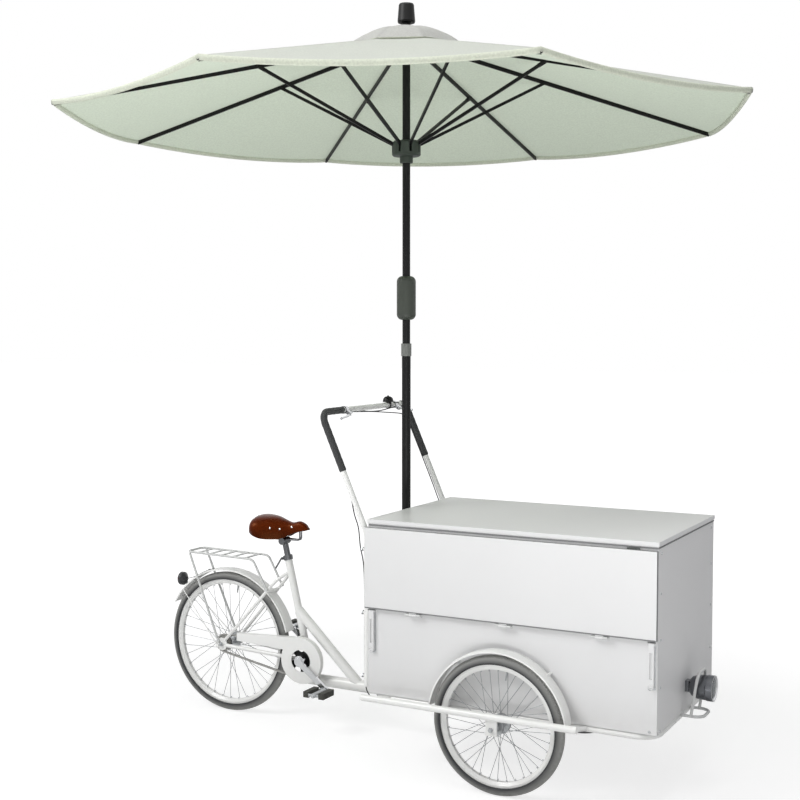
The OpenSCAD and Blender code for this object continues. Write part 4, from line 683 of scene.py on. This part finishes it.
for name, route in (("brake_cable_left", cable_left), ("brake_cable_right", cable_right)):
    path = along([mm(*point) for point in route], cable_step)
    piece = make_piece(name, sweep(path, [cable_r] * len(path), 10), [sheath], "cart")
    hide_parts("brake_cables")
    print(name, round(length_of(path), 3), "m long")
    for end, inner in ((path[0], path[1]), (path[-1], path[-2])):
        ferrules.append(revolve(ferrule, end, inner - end, 14))
make_piece("cable_ferrules", gather(ferrules), [zinc], "cart")

# %% [markdown]
# ## 9. Foam grips
#
# The grips are soft foam sleeves. Foam is never quite even: the sleeve swells a little between its
# ends, is drawn in at the rims, and its skin is full of small closed cells. A plain tube cannot
# show that, so the solid sleeve is replaced by a sweep whose radius changes. It follows the bar
# round the corner: straight, an arc, straight. The right sleeve runs on along the crossbar, the
# left one ends at the corner.

# %% Foam and the path round the corner
# Foamed and skinned: no highlight at all, and a fine pitted skin. Real cells are under 1 mm; they
# are drawn at 2 mm, so that they show.
cell_mm, arc_steps = 2, 16
foam = finish_of("dark_grey_closed_cell_foam", "#38393A", rough=0.85, grain_mm=1.1, depth_mm=0.12,
                 tint=0.1, tint_mm=35, Sheen_Weight=0.15)
cells = add(foam["tree"], "ShaderNodeTexVoronoi",
            {"Vector": foam["place"], "Scale": scale_for(cell_mm)})
foam["tree"].links.new(cells.outputs[0], foam["bump"].inputs["Height"])


def corner_path(foot, top, end, bend, step):
    """Points from foot to end with the corner at top rounded."""
    u, v = (foot - top).normalized(), (end - top).normalized()
    half = (math.pi - u.angle(v)) / 2
    centre = top + (u + v).normalized() * bend / math.cos(half)
    start = top + u * bend * math.tan(half)
    spoke = start - centre
    axis = spoke.cross(-u).normalized()
    arc = [centre + Matrix.Rotation(2 * half * i / arc_steps, 3, axis) @ spoke
           for i in range(arc_steps + 1)]
    count = round((foot - start).length / step)
    path = [foot.lerp(start, i / count) for i in range(count)] + arc
    count = max(2, round((end - arc[-1]).length / step))
    return path + [arc[-1].lerp(end, i / count) for i in range(1, count + 1)]


print("cells of", cell_mm, "mm in", names_of(foam))

# %% [markdown]
# The radius changes along the sleeve: it rises from the rim within 4 mm, and a gentle wave of
# 31 mm, as a hand would press it, runs over the rest.

# %% Two sleeves
bar_x, bar_y, bar_z, bar_bend = -188, 345, 1343, 0.048
leg_x, leg_z, grip_foot_z, grip_step = 14.2, 890, 1121, 0.006
rim_r, swell, rim_run, wave_height, wave_run = 0.0118, 0.0021, 0.004, 0.0003, 0.031


def foam_grip(name, side, run):
    """Sleeve on one side of the push bar that runs so many millimetres along the crossbar."""
    share = (bar_z - grip_foot_z) / (bar_z - leg_z)
    foot = mm(bar_x + share * (leg_x - bar_x), side * bar_y, grip_foot_z)
    corner, end = mm(bar_x, side * bar_y, bar_z), mm(bar_x, side * (bar_y - run), bar_z)
    path = corner_path(foot, corner, end, bar_bend, grip_step)
    lengths = [0]
    for a, b in zip(path, path[1:]):
        lengths.append(lengths[-1] + (b - a).length)
    radii = []
    for done in lengths:
        to_end = min(done, lengths[-1] - done)
        radii.append(rim_r + swell * min(1, to_end / rim_run) ** 0.5
                     + wave_height * math.sin(done * 2 * math.pi / wave_run))
    piece = make_piece(name, sweep(path, radii, 24), [foam], "cart")
    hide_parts("grips")
    print(name, round(lengths[-1], 3), "m of foam")


foam_grip("foam_grip_right", -1, 164)
foam_grip("foam_grip_left", 1, 46)

# %% [markdown]
# ## 10. Leather saddle
#
# Saddle leather is soaked, pressed over a mould and waxed. It shows a pebble grain, broad clouds
# between two browns, and a skirt that grows darker towards its lower edge. The grain is about 1 mm
# and is drawn at 1.6 mm, so that it shows. A clear coat could stand for the wax, but its white
# reflections turn the deep brown to grey; a warm tint on the specular reflection keeps it brown.

# %% Leather
# Moulded and waxed: deep brown with warm glints on the crown and at the nose.
leather = finish_of("brown_moulded_leather", "#521B05", rough=0.27, grain_mm=0.6, depth_mm=0.04,
                    tint=0.35, tint_mm=34, Specular_IOR_Level=0.34,
                    Specular_Tint=linear("#D08048"))
pebble_mm, skirt_low, skirt_high, skirt_dark = 1.6, 0.79, 0.835, 0.75
tree = leather["tree"]
pebble = add(tree, "ShaderNodeTexVoronoi",
             {"Vector": leather["place"], "Scale": scale_for(pebble_mm)})
tree.links.new(pebble.outputs[0], leather["bump"].inputs["Height"])
up = add(tree, "ShaderNodeSeparateXYZ", {0: leather["place"]}).outputs[2]
# Darker towards the lower edge of the skirt.
skirt = add(tree, "ShaderNodeMapRange",
            {0: up, 1: skirt_low, 2: skirt_high, 3: skirt_dark, 4: 0.0})
stain(leather, skirt.outputs[0], "#2C0F07")
print("pebbles of", pebble_mm, "mm on", leather["material"].name)

# %% [markdown]
# The saddle is broad at the back, narrow at the nose, with a crown along the middle and deep
# skirts at the sides. It could be sculpted; a loft is chosen, because its rows can be measured and
# changed one by one. Ten rows give the share of the length, the share of the half width, and how
# far crown and skirt edge lie below the highest point; a smooth curve through the rows gives as
# many sections as wanted. The inside is the same loft, 4 mm smaller and open below, so the
# underside is hollow as on the real one.

# %% The loft
saddle_nose, saddle_top, saddle_l, saddle_w = -464.5, 872, 254, 186
saddle_rows = [
    (0, 0.13, 42, 52), (0.05, 0.2, 28, 56), (0.15, 0.24, 18, 60), (0.3, 0.29, 25, 74),
    (0.45, 0.45, 15, 92), (0.6, 0.7, 4, 95), (0.75, 0.93, 0, 91), (0.87, 1, 0, 80),
    (0.95, 0.92, 6, 68), (1, 0.66, 24, 54),
]
crown_power, least_half = 0.55, 3


def row_at(share):
    """Width share, crown drop and skirt drop at a share of the length, on a smooth curve."""
    last = len(saddle_rows) - 1
    i = max(j for j in range(last) if saddle_rows[j][0] <= share)
    rows = [saddle_rows[min(max(i + d, 0), last)] for d in (-1, 0, 1, 2)]
    t = (share - rows[1][0]) / (rows[2][0] - rows[1][0])
    return [between(*(row[n] for row in rows), t) for n in (1, 2, 3)]


def saddle_point(share, turn, inset=0):
    """Point on the saddle at a share of the length and a share of the way over the crown."""
    width, crown, edge = row_at(share)
    half = max(saddle_w / 2 * width - inset, least_half)
    high, low = saddle_top - crown - inset, saddle_top - edge
    x = saddle_nose - saddle_l * share + inset * (1 - 2 * share)
    rise = math.sin(math.pi * turn) ** crown_power
    return mm(x, -half * math.cos(math.pi * turn), low + (high - low) * rise)


def saddle_shell(inset, rows, columns):
    """Points over the saddle from skirt edge to skirt edge, row by row from the nose."""
    shares = [(1 - math.cos(math.pi * i / (rows - 1))) / 2 for i in range(rows)]
    return [saddle_point(share, j / (columns - 1), inset) for share in shares
            for j in range(columns)]


rows, columns, thick = 45, 37, 4
outer, inner = saddle_shell(0, rows, columns), saddle_shell(thick, rows, columns)
print("saddle", len(outer + inner), "points")

# %% [markdown]
# Faces join the points in four groups: the outside, the inside, the two skirt edges, and the
# edges at nose and back. The order of the points in a face says which side is out.

# %% The saddle
count = len(outer)
faces = []
for i in range(rows - 1):
    for j in range(columns - 1):
        a = i * columns + j
        faces.append((a, a + columns, a + columns + 1, a + 1))
        faces.append((count + a, count + a + 1, count + a + columns + 1, count + a + columns))
    for j in (0, columns - 1):
        a = i * columns + j
        strip = (a, count + a, count + a + columns, a + columns)
        faces.append(strip if j == 0 else strip[::-1])
for i in (0, rows - 1):
    for j in range(columns - 1):
        a = i * columns + j
        strip = (a, a + 1, count + a + 1, count + a)
        faces.append(strip if i == 0 else strip[::-1])
saddle = make_piece("saddle_leather", (outer + inner, faces), [leather], "seat",
                    smooth_deg=70)
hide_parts("saddle")
print("saddle", len(faces), "faces")

# %% [markdown]
# Bright rivets hold the leather: three along each skirt and two on each side of the back. Each is
# a small dome set on the surface: the loft gives the point, and two points close together give
# the slope and so the way out.

# %% Saddle rivets
rivet = [(0, -1), (4.6, -1), (4.6, 0.2), (3.9, 1), (2.4, 1.5), (0, 1.7)]
rivets = []
for share, turn in ((0.27, 0.14), (0.46, 0.1), (0.6, 0.1), (0.93, 0.3), (0.93, 0.42)):
    at = saddle_point(share, turn)
    slope = (saddle_point(share, turn + 0.01) - at).normalized()
    for mirror in (1, -1):
        rivets.append(revolve(rivet, (at.x, at.y * mirror, at.z),
                              (0, -slope.z * mirror, slope.y), 16))
make_piece("saddle_rivets", gather(rivets), [chrome], "seat")
print(len(rivets), "rivets")

# %% [markdown]
# ## 11. The canopy
#
# The cloth is a plain weave of polyester. It is drawn from UVs in metres, as two sets of threads
# at right angles. Real threads are about 0.4 mm; they are drawn at 3 mm, so that the cloth still
# reads as woven at this distance. Thicker threads give specks of about 7 mm, a seam along each rib
# is a little darker, and a translucent shader lets some light through.

# %% Woven cloth
thread_mm, slub_mm, light_through = 3, 7, 0.4
seam_half, seam_edge, seam_dark = 0.011, 0.002, 0.9
speck_low, speck_high, speck_dark, speck_light = 0.32, 0.7, 0.84, 1.08


def woven(name, hex_code):
    """Plain weave with light coming through it, drawn from the UVs of the cloth."""
    cloth = finish_of(name, hex_code, rough=0.8, grain_mm=1.5, depth_mm=0.15, tint=0.025,
                      tint_mm=300, Sheen_Weight=0.2)
    tree = cloth["tree"]
    uv = add(tree, "ShaderNodeUVMap", uv_map="cloth").outputs[0]
    u, v, _ = add(tree, "ShaderNodeSeparateXYZ", {0: uv}).outputs
    weave = add(tree, "ShaderNodeMath",
                {0: ripple(tree, u, thread_mm), 1: ripple(tree, v, thread_mm)},
                operation="MULTIPLY")
    tree.links.new(weave.outputs[0], cloth["bump"].inputs["Height"])
    slub = add(tree, "ShaderNodeTexNoise",
               {"Vector": cloth["place"], "Scale": scale_for(slub_mm), "Detail": 3})
    speck = add(tree, "ShaderNodeMapRange", {0: slub.outputs[0], 1: speck_low, 2: speck_high,
                                             3: speck_dark, 4: speck_light})
    from_rib = add(tree, "ShaderNodeMath", {0: u}, operation="ABSOLUTE")
    seam = add(tree, "ShaderNodeMapRange", {0: from_rib.outputs[0], 1: seam_half - seam_edge,
                                            2: seam_half, 3: seam_dark, 4: 1.0})
    shade = cloth["colour"]
    for mask in (speck, seam):
        shade = add(tree, "ShaderNodeMix", {0: 1.0, 6: shade, 7: mask.outputs[0]},
                    data_type="RGBA", blend_type="MULTIPLY").outputs[2]
    tree.links.new(shade, cloth["shader"].inputs["Base Color"])
    through = add(tree, "ShaderNodeBsdfTranslucent", {0: linear("#DDE2D8")})
    both = add(tree, "ShaderNodeMixShader", {0: light_through, 1: cloth["shader"].outputs[0],
                                             2: through.outputs[0]})
    tree.links.new(both.outputs[0], tree.nodes["Material Output"].inputs[0])
    return cloth


# Woven and left plain: off-white and dry, with a little light coming through.
cloth_out = woven("off_white_woven_polyester", "#C4C3C1")
# The inner face: pale sage green, lit softly from below.
cloth_in = woven("sage_woven_polyester_lining", "#DDE8D7")
# Folded tape: a cream line that draws the edge of the canopy.
hem_tape = woven("cream_woven_hem_tape", "#E8EBDC")
print("three cloths, threads drawn at", thread_mm, "mm")

# %% [markdown]
# Eight gores hang on eight ribs. One sheet could not follow the folding ribs, so the cloth is made
# in eight pieces, each centred on its rib and reaching half way to both neighbours. At rest the
# pieces meet edge to edge and look like one sheet; on folding, each swings with its rib.
#
# Across a gore the cloth sags between the ribs, most at the hem (26 mm) and not at all at the
# crown. A cloth simulation would find that too, but a formula gives the same curve in every run.
# The hem is rolled, a flat seam runs along each rib, and a vent cap sits above the opening in the
# middle. Each gore also carries its share of the cap.

# %% Sizes of the canopy
cloth_r, vent_hole_r, vent_r, sag = 1.357, 0.150, 0.238, 0.026
cap_in, cap_top, cap_gap, cap_power = 0.032, 2.834, 0.0065, 2.4
pivot_r, pivot_z, rib_slope = 0.038, 2.792, math.radians(13.1866)
rib_top, hem_back, seam_rise, cap_billow = 0.0087, 0.003, 0.0007, 0.006
upper_face, mid_face, lower_face = 0.0024, 0.0015, 0.0006
chord = 0.765  # width of a gore for each metre of radius, 2 sin(22.5 degrees)


def rib_line(r):
    """Height of the underside of the cloth above a rib."""
    return pivot_z - (r - pivot_r) * math.tan(rib_slope) + rib_top / math.cos(rib_slope)


def dip(t):
    """0 on a rib, 1 half way to the next."""
    return 4 * abs(t) * (1 - abs(t))


def sheet_at(t, share, lift):
    """Radius and height of the main sheet. The seam stands up on all but the lower face."""
    r = vent_hole_r + (cloth_r - hem_back - vent_hole_r) * share
    on_seam = abs(t) * r * chord < seam_half and lift > lower_face
    seam = seam_rise if on_seam else 0
    return r, rib_line(r) - sag * share * dip(t) + lift + seam


def cap_at(t, share, lift):
    """Radius and height of the vent cap, a flat dome with a slight billow."""
    r = cap_in + (vent_r - cap_in) * share
    drop = (cap_top - rib_line(vent_r) - cap_gap) * share ** cap_power
    return r, cap_top - drop + cap_billow * math.sin(math.pi * share) * dip(t) + lift


print("hem at", round(rib_line(cloth_r), 3), "m, vent cap at", cap_top, "m")

# %% [markdown]
# A sheet is a grid of points, once for its upper and once for its lower face. Two helpers number
# the faces of such a grid and the points round its edge.

# %% Grid of a sheet


def grid_faces(first, rows, columns, flip):
    """Faces of a grid whose points are numbered from first, row by row."""
    quads = []
    for i in range(rows):
        for j in range(columns):
            a = first + i * (columns + 1) + j
            quad = (a, a + columns + 1, a + columns + 2, a + 1)
            quads.append(quad[::-1] if flip else quad)
    return quads


def grid_rim(rows, columns):
    """Points round the edge of a grid, in order."""
    rim = list(range(columns + 1))
    rim += [i * (columns + 1) + columns for i in range(1, rows + 1)]
    rim += [rows * (columns + 1) + j for j in range(columns - 1, -1, -1)]
    return rim + [i * (columns + 1) for i in range(rows - 1, 0, -1)]


print("a grid of 30 by 24 has", len(grid_faces(0, 30, 24, False)), "faces and",
      len(grid_rim(30, 24)), "points on its edge")

# %% [markdown]
# A gore is drawn in steps: upper face, lower face, the narrow edge between them, and last the
# rolled hem, a flattened tube along the edge. Every point gets a UV in metres across and along. The
# faces take one of three cloths: outside, lining or hem tape.

# %% One gore
outside, lining, tape = 0, 1, 2
# Each sheet: its surface, rows, columns and the cloth on its lower face.
sheets = ((sheet_at, 30, 24, lining), (cap_at, 10, 12, outside))
# Each hem: its surface, radius, half width and half height in metres.
hems = ((sheet_at, cloth_r - 0.007, 0.0075, 0.0105), (cap_at, vent_r - 0.005, 0.0045, 0.0035))
hem_columns, hem_sides, hem_drop, hem_fold = 24, 10, 0.4, 0.02


def gore(k):
    """Cloth of one rib: main sheet, its share of the vent cap, and both hems."""
    turn = math.radians(45 * (k - 1))
    ahead = [Vector((math.cos(turn + d), math.sin(turn + d), 0))
             for d in (-math.pi / 4, 0, math.pi / 4)]
    points, faces, picks, uvs = [], [], [], []

    def put(t, r, z, u, v):
        beside = ahead[2] if t > 0 else ahead[0]
        flat = (1 - abs(t)) * ahead[1] + abs(t) * beside
        points.append(flat * r + Vector((0, 0, z)))
        uvs.append((u, v))

    def cover(new_faces, pick):
        faces.extend(new_faces)
        picks.extend([pick] * len(new_faces))

    for surface, rows, columns, below in sheets:
        starts = []
        for lift, pick, flip in ((upper_face, outside, True), (lower_face, below, False)):
            starts.append(len(points))
            for i in range(rows + 1):
                for j in range(columns + 1):
                    t = j / columns - 0.5
                    r, z = surface(t, i / rows, lift)
                    put(t, r, z, t * r * chord, r)
            cover(grid_faces(starts[-1], rows, columns, flip), pick)
        top, under = starts
        rim = grid_rim(rows, columns)
        cover([(top + a, top + b, under + b, under + a) for a, b in zip(rim, rim[1:] + rim[:1])],
              tape)
    for surface, r, wide, tall in hems:
        first = len(points)
        for j in range(hem_columns + 1):
            t = j / hem_columns - 0.5
            z = surface(t, 1, mid_face)[1] - hem_drop * tall
            for s in range(hem_sides):
                a = 2 * math.pi * s / hem_sides
                put(t, r + wide * math.cos(a), z + tall * math.sin(a),
                    t * r * chord, hem_fold * s / hem_sides)
        cover([tuple(first + i for i in face) for face in bridge(hem_columns + 1, hem_sides)], tape)
    return (points, faces), picks, uvs, ahead[1]


print("a gore has", len(gore(1)[0][1]), "faces")

# %% [markdown]
# Each gore becomes a piece of its own, tied to its rib, with the three cloths and a UV map named
# cloth, in metres. On folding, the ribs come to three quarters of their spacing at rest.

# %% Eight gores
for k in range(1, 9):
    shape, picks, uvs, way = gore(k)
    piece = make_piece(f"canopy_gore_{k}", shape, [cloth_out, cloth_in, hem_tape], f"rib_{k}",
                       picks, 50)
    cloth_uv = piece.data.uv_layers.new(name="cloth")
    for loop in piece.data.loops:
        cloth_uv.data[loop.index].uv = uvs[loop.vertex_index]
    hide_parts("canopy")
    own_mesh(piece)

# %% [markdown]
# ## 12. Small hardware
#
# Screws, nuts, nipples and valves are what the eye uses to read size. Each kind is one revolved
# profile, repeated, and everything on one body is joined into one object. Bump could suggest a
# screw head, but not its outline: it gets a real dome and recess, so that it catches a point of
# light and a point of shade.

# %% Screws and nuts
screw = [(0, 0), (5, 0), (5, 0.6), (4.2, 1.9), (2.6, 2.5), (2.2, 2.5), (1.6, 1.5), (0, 1.3)]
hex_nut = [(0, 0), (8.2, 0), (8.6, 0.6), (8.6, 5.4), (8, 6), (5.2, 6), (5.2, 8.5), (4.4, 9),
           (0, 9)]
screws = [revolve(screw, (1.149, y, z), (1, 0, 0), 18)
          for y in (-0.322, 0.322) for z in (0.293, 0.444, 0.608, 0.767, 0.905)]
screws += [revolve(screw, (1.1225, -0.356, z), (0, -1, 0), 18) for z in (0.296, 0.444, 0.59)]
make_piece("box_screws", gather(screws), [zinc], "cart")

nuts = [revolve(hex_nut, (-0.0013, y, z), (-1, 0, 0), 6)
        for y in (-0.345, 0.345) for z in (0.345, 0.5875, 0.83)]
make_piece("push_bar_nuts", gather(nuts), [zinc], "cart")
print(len(screws), "screws,", len(nuts), "nuts")

# %% [markdown]
# Between the box and its lid runs a soft rubber seal. Its mid grey is painted shade: it shows as a
# thin dark line along both sides and the front, where the gap under the lid lies in shade, and that
# line is what tells the eye that the lid is a separate thing. A dark stripe in the paint would
# vanish when the lid opens, so it is a real tube of 2.5 mm radius, on the top edge of the walls.

# %% Lid seal
seal_z, seal_r = 0.9272, 0.0025
corners = [Vector((x, y, seal_z)) for x, y in
           ((0.030, -0.3568), (1.1498, -0.3568), (1.1498, 0.3568), (0.030, 0.3568))]
seal_path = [a.lerp(b, i / 12) for a, b in zip(corners, corners[1:]) for i in range(12)]
seal_path.append(corners[-1])
# Mid grey tube: painted shade for the gap under the lid.
make_piece("lid_seal_painted_shade", sweep(seal_path, [seal_r] * len(seal_path), 12), [shade_seal_rubber], "cart")
print("seal", round(length_of(seal_path), 2), "m")

# %% [markdown]
# A dark grey strip along the foot of the flap is painted shadow. On the real cart one dark line
# crosses the side there, because the flap stands proud of the wall and its lower edge lies in
# shade.
# Near the front end, a bent spring catch of 44 mm holds the flap under the lid. Both are profiles
# in
# Y and Z, drawn out along X.

# %% Painted shadow strip and catch


def draw_out(profile, x0, x1):
    """Bar with one profile of (y, z) from x0 to x1."""
    points = [Vector((x, y, z)) for x in (x0, x1) for y, z in profile]
    return points, bridge(2, len(profile))


# Painted shadow: a dark grey strip on the foot of the flap, where it stands proud of the wall.
shadow_strip_low, shadow_strip_high, shadow_strip_out, shadow_strip_in, break_edge = 0.6122, 0.6168, -0.3756, -0.3738, 0.0006
shadow_strip_profile = [(shadow_strip_in, shadow_strip_low), (shadow_strip_out + break_edge, shadow_strip_low),
                (shadow_strip_out, shadow_strip_low + break_edge), (shadow_strip_out, shadow_strip_high - break_edge),
                (shadow_strip_out + break_edge, shadow_strip_high), (shadow_strip_in, shadow_strip_high)]
shadow_strip_x = (0.0215, 1.1475)
make_piece("flap_painted_shadow_strip", draw_out(shadow_strip_profile, *shadow_strip_x), [shade_trim], "flap")

catch_z, catch_x = 0.918, (1.0415, 1.0855)
catch_profile = [(-372.5, 0), (-372.5, 1.6), (-369, 2.6), (-365.5, 5.8), (-362, 5.8), (-360, 3),
                 (-360, 1.2), (-362.2, 4.2), (-365, 4.2), (-368.2, 1), (-370, 0)]
catch_profile = [(y / 1000, catch_z + z / 1000) for y, z in catch_profile]
make_piece("flap_catch", draw_out(catch_profile, *catch_x), [post_steel], "flap")
print("trim", round((shadow_strip_x[1] - shadow_strip_x[0]) * 1000), "mm, catch",
      round((catch_x[1] - catch_x[0]) * 1000), "mm long")

# %% [markdown]
# The bell is a pressed steel dome over a plain solid core, with a nut on top and a thumb lever in
# front. The dome is one revolved profile with a rolled lip.

# %% Bell
bell_at = Vector((-0.188, bell_y, 1.356))
dome_profile = [(0, 23.5), (6, 23.2), (12, 21.6), (17, 18.2), (20.4, 13), (22, 7), (22.4, 2),
                (23.2, 0.6), (22.9, -0.4), (21.6, 0), (21.4, 6), (19.6, 12.4)]
dome = revolve(dome_profile, bell_at, (0, 0, 1), 32)
cap_nut = revolve([(0, 27.5), (2.4, 27), (3.6, 25.4), (3.8, 23), (0, 22.6)],
                  bell_at, (0, 0, 1), 12)
thumb_path = along([mm(-166, 200, 1352), mm(-160, 206, 1352), mm(-155, 213, 1352),
                    mm(-152, 221, 1351)], 0.003)
thumb = sweep(thumb_path, [0.0024] * (len(thumb_path) - 1) + [0.0016], 10)
make_piece("bell_dome", gather([dome, cap_nut, thumb]), [black], "cart")
print("bell", round(2 * max(r for r, _ in dome_profile)), "mm across")

# %% [markdown]
# How the tail lamp is held does not show in the photograph. Such lamps hang on a bent strap that
# lies on the mudguard, held by one screw, and then runs out to the lamp; here it is as dark as the
# lamp itself. A flat ring with broken corners is pulled along the path; square to the path is
# always the Y axis, so no twist can creep in.

# %% Tail lamp strap
guard_axle, guard_r = mm(-866, 0, 303.5), 0.3222
on_guard = [guard_axle + guard_r * Vector((math.cos(math.radians(a)), 0, math.sin(math.radians(a))))
            for a in (106, 110, 114, 118, 121)]
to_lamp = [mm(-1052, 0, 570.5), mm(-1076, 0, 562), mm(-1102, 0, 554.5)]
strap_path = along(on_guard + to_lamp, 0.005)
strap_ring = [(-9, -0.5), (-8.4, -1.1), (8.4, -1.1), (9, -0.5), (9, 0.5), (8.4, 1.1), (-8.4, 1.1),
              (-9, 0.5)]
strap_points = []
for i, at in enumerate(strap_path):
    way = heading(strap_path, i)
    out = Vector((way.z, 0, -way.x))
    strap_points += [at + mm(0, wide, 0) + out * tall / 1000 for wide, tall in strap_ring]
strap_screw = revolve(screw, strap_path[4] + mm(-0.3, 0, 0.95), (-0.33, 0, 0.94), 18)
strap = (strap_points, bridge(len(strap_path), len(strap_ring)))
make_piece("tail_lamp_strap", gather([strap, strap_screw]), [lamp_plastic], "bike")
print("strap", round(length_of(strap_path), 3), "m long")

# %% [markdown]
# Spoke nipples sit where the spokes enter the rim, and each wheel has one valve. Both are placed
# by the same angles that lace the spokes: 36 of them, alternately left and right of the middle of
# the rim.

# %% Nipples and valves
spoke_count, nipple_side, rim_at, valve_turn = 36, 0.0035, 0.051, 1.4
nipple = [(0, -7), (1.5, -7), (1.9, -6), (1.9, -1), (2.6, 0), (0, 1)]
valve = [(0, -34), (2.2, -34), (2.6, -33), (2.6, -22), (3.4, -21), (3.4, -4), (4.5, -3), (4.5, 0),
         (0, 0)]
for side, wheel in wheels.items():
    axle, rim_in = Vector(wheel["axle"]), wheel["radius"] - rim_at
    bits = []
    for n in range(spoke_count):
        turn = 2 * math.pi * n / spoke_count
        out = Vector((math.cos(turn), 0, math.sin(turn)))
        shift = Vector((0, nipple_side if n % 2 else -nipple_side, 0))
        bits.append(revolve(nipple, axle + out * rim_in + shift, out, 10))
    out = Vector((math.cos(valve_turn), 0, math.sin(valve_turn)))
    bits.append(revolve(valve, axle + out * rim_in, out, 14))
    make_piece(f"nipples_and_valve_{side}", gather(bits), [zinc], wheel["body"])
print(spoke_count, "nipples and a valve on each of", len(wheels), "wheels")

# %% [markdown]
# ## 13. Head lamp
#
# The lamp is a dark bullet with a chromed ring and a domed glass. Behind the glass sits a bright
# bowl with a small bulb: a glass over a black hole would look dead. The glass has a soft moulded
# ripple.

# %% Lamp, glass and reflector
# Pressed in a mould: clear, with a gentle waviness that bends what lies behind.
glass = finish_of("clear_moulded_glass", "#9DA3A8", rough=0.06, grain_mm=5, depth_mm=0.1,
                  tint=0.05, tint_mm=30, Transmission_Weight=0.9, IOR=1.46)
ring_x = 1.2465
dress("headlamp", lamp_steel, chrome, pick=lambda at, normal: at.x > ring_x)
dress("headlamp_lens", glass)
lamp_at, ahead = (1.163, 0, 0.374), (1, 0, 0)
bowl_profile = [(17.5, 50.5), (26, 57), (33, 65), (37.5, 74), (38.6, 79), (37.9, 79.2),
                (36.6, 74.4), (32.2, 65.8), (25.2, 58), (17, 51.5), (0, 51.2)]
bowl = revolve(bowl_profile, lamp_at, ahead, 40)
bulb = revolve([(0, 51.5), (5, 51.5), (5, 58), (6, 60), (5.6, 66), (3.4, 69.5), (0, 70.5)],
               lamp_at, ahead, 20)
make_piece("lamp_reflector", gather([bowl, bulb]), [chrome], "cart")
print("reflector bowl", max(r for r, _ in bowl_profile), "mm in radius")

# %% [markdown]
# ## 14. Floor and light
#
# The photograph shows the cart on plain white with soft light from the left front: the long side
# is the brightest, the lid a step darker, the front face darkest.
#
# The background is white only for the camera and for reflections; the light on the cart comes from
# the lamps and a quiet grey sky alone. A Light Path node tells the two apart.

# %% Sky
white, sky_grey, floor_grey = (1, 1, 1, 1), (0.36, 0.36, 0.37, 1), (0.36, 0.36, 0.36, 1)
world = bpy.data.worlds.new("studio")
scene.world = world
world.use_nodes = True
tree = world.node_tree
rays = add(tree, "ShaderNodeLightPath").outputs
seen = rays["Is Camera Ray"]
for kind in ("Is Glossy Ray", "Is Transmission Ray"):
    seen = add(tree, "ShaderNodeMath", {0: seen, 1: rays[kind]}, operation="MAXIMUM").outputs[0]
sky = add(tree, "ShaderNodeMix", {0: seen, 6: sky_grey, 7: white}, data_type="RGBA")
tree.links.new(sky.outputs[2], tree.nodes["Background"].inputs[0])
print("grey sky, seen as white")

# %% [markdown]
# The floor is plain and pale. To the camera it glows a little, more with distance, so that it
# melts into the background, and its diffuse part still holds the soft shadow under the wheels.

# %% Floor
floor_half, near, far, near_glow = 40, 1.6, 5.0, 0.74
floor_mesh = bpy.data.meshes.new("floor")
floor_mesh.from_pydata([(x * floor_half, y * floor_half, 0)
                        for x, y in ((-1, -1), (1, -1), (1, 1), (-1, 1))], [], [(0, 1, 2, 3)])
floor = bpy.data.objects.new("floor", floor_mesh)
scene.collection.objects.link(floor)
# Painted board: matt and even, with no reflection of the cart.
floor_finish = finish_of("pale_painted_board", "#EDEDED", rough=0.9, grain_mm=3, depth_mm=0.02,
                         tint=0.01, tint_mm=400)
tree = floor_finish["tree"]
rays = add(tree, "ShaderNodeLightPath").outputs
dim = add(tree, "ShaderNodeBsdfDiffuse", {0: floor_grey})
reach = add(tree, "ShaderNodeVectorMath", {0: floor_finish["place"]}, operation="LENGTH")
lift = add(tree, "ShaderNodeMapRange",
           {0: reach.outputs[1], 1: near, 2: far, 3: near_glow, 4: 1.0})
glow = add(tree, "ShaderNodeEmission", {0: white, 1: lift.outputs[0]})
pale = add(tree, "ShaderNodeAddShader", {0: dim.outputs[0], 1: glow.outputs[0]})
shown = add(tree, "ShaderNodeMixShader", {0: rays["Is Camera Ray"],
                                          1: floor_finish["shader"].outputs[0],
                                          2: pale.outputs[0]})
tree.links.new(shown.outputs[0], tree.nodes["Material Output"].inputs[0])
floor_mesh.materials.append(floor_finish["material"])
print("floor", 2 * floor_half, "m wide")

# %% [markdown]
# Three large soft lamps: the key left of the camera, a weaker one above, and one that lies low in
# front and shines up, as a bright floor would, so that the inside of the canopy shows its green.

# %% Lamps


def area_light(name, at, target, size, power):
    """Round soft lamp of this size in metres and power in watts, turned to its target."""
    data = bpy.data.lights.new(name, "AREA")
    data.shape = "DISK"
    data.size = size
    data.energy = power
    light = bpy.data.objects.new(name, data)
    light.location = at
    light.visible_camera = False
    light.rotation_euler = (Vector(target) - Vector(at)).to_track_quat("-Z", "Y").to_euler()
    scene.collection.objects.link(light)


area_light("key", (-3.2, -4.2, 5.2), (0.2, 0, 0.7), 3.0, 228)
area_light("top", (0.6, -1.2, 6.5), (0.3, 0, 0.6), 4.0, 182)
area_light("floor_board", (1.7, -3.3, 0.1), (1.7, -3.29, 5), 2.4, 112)
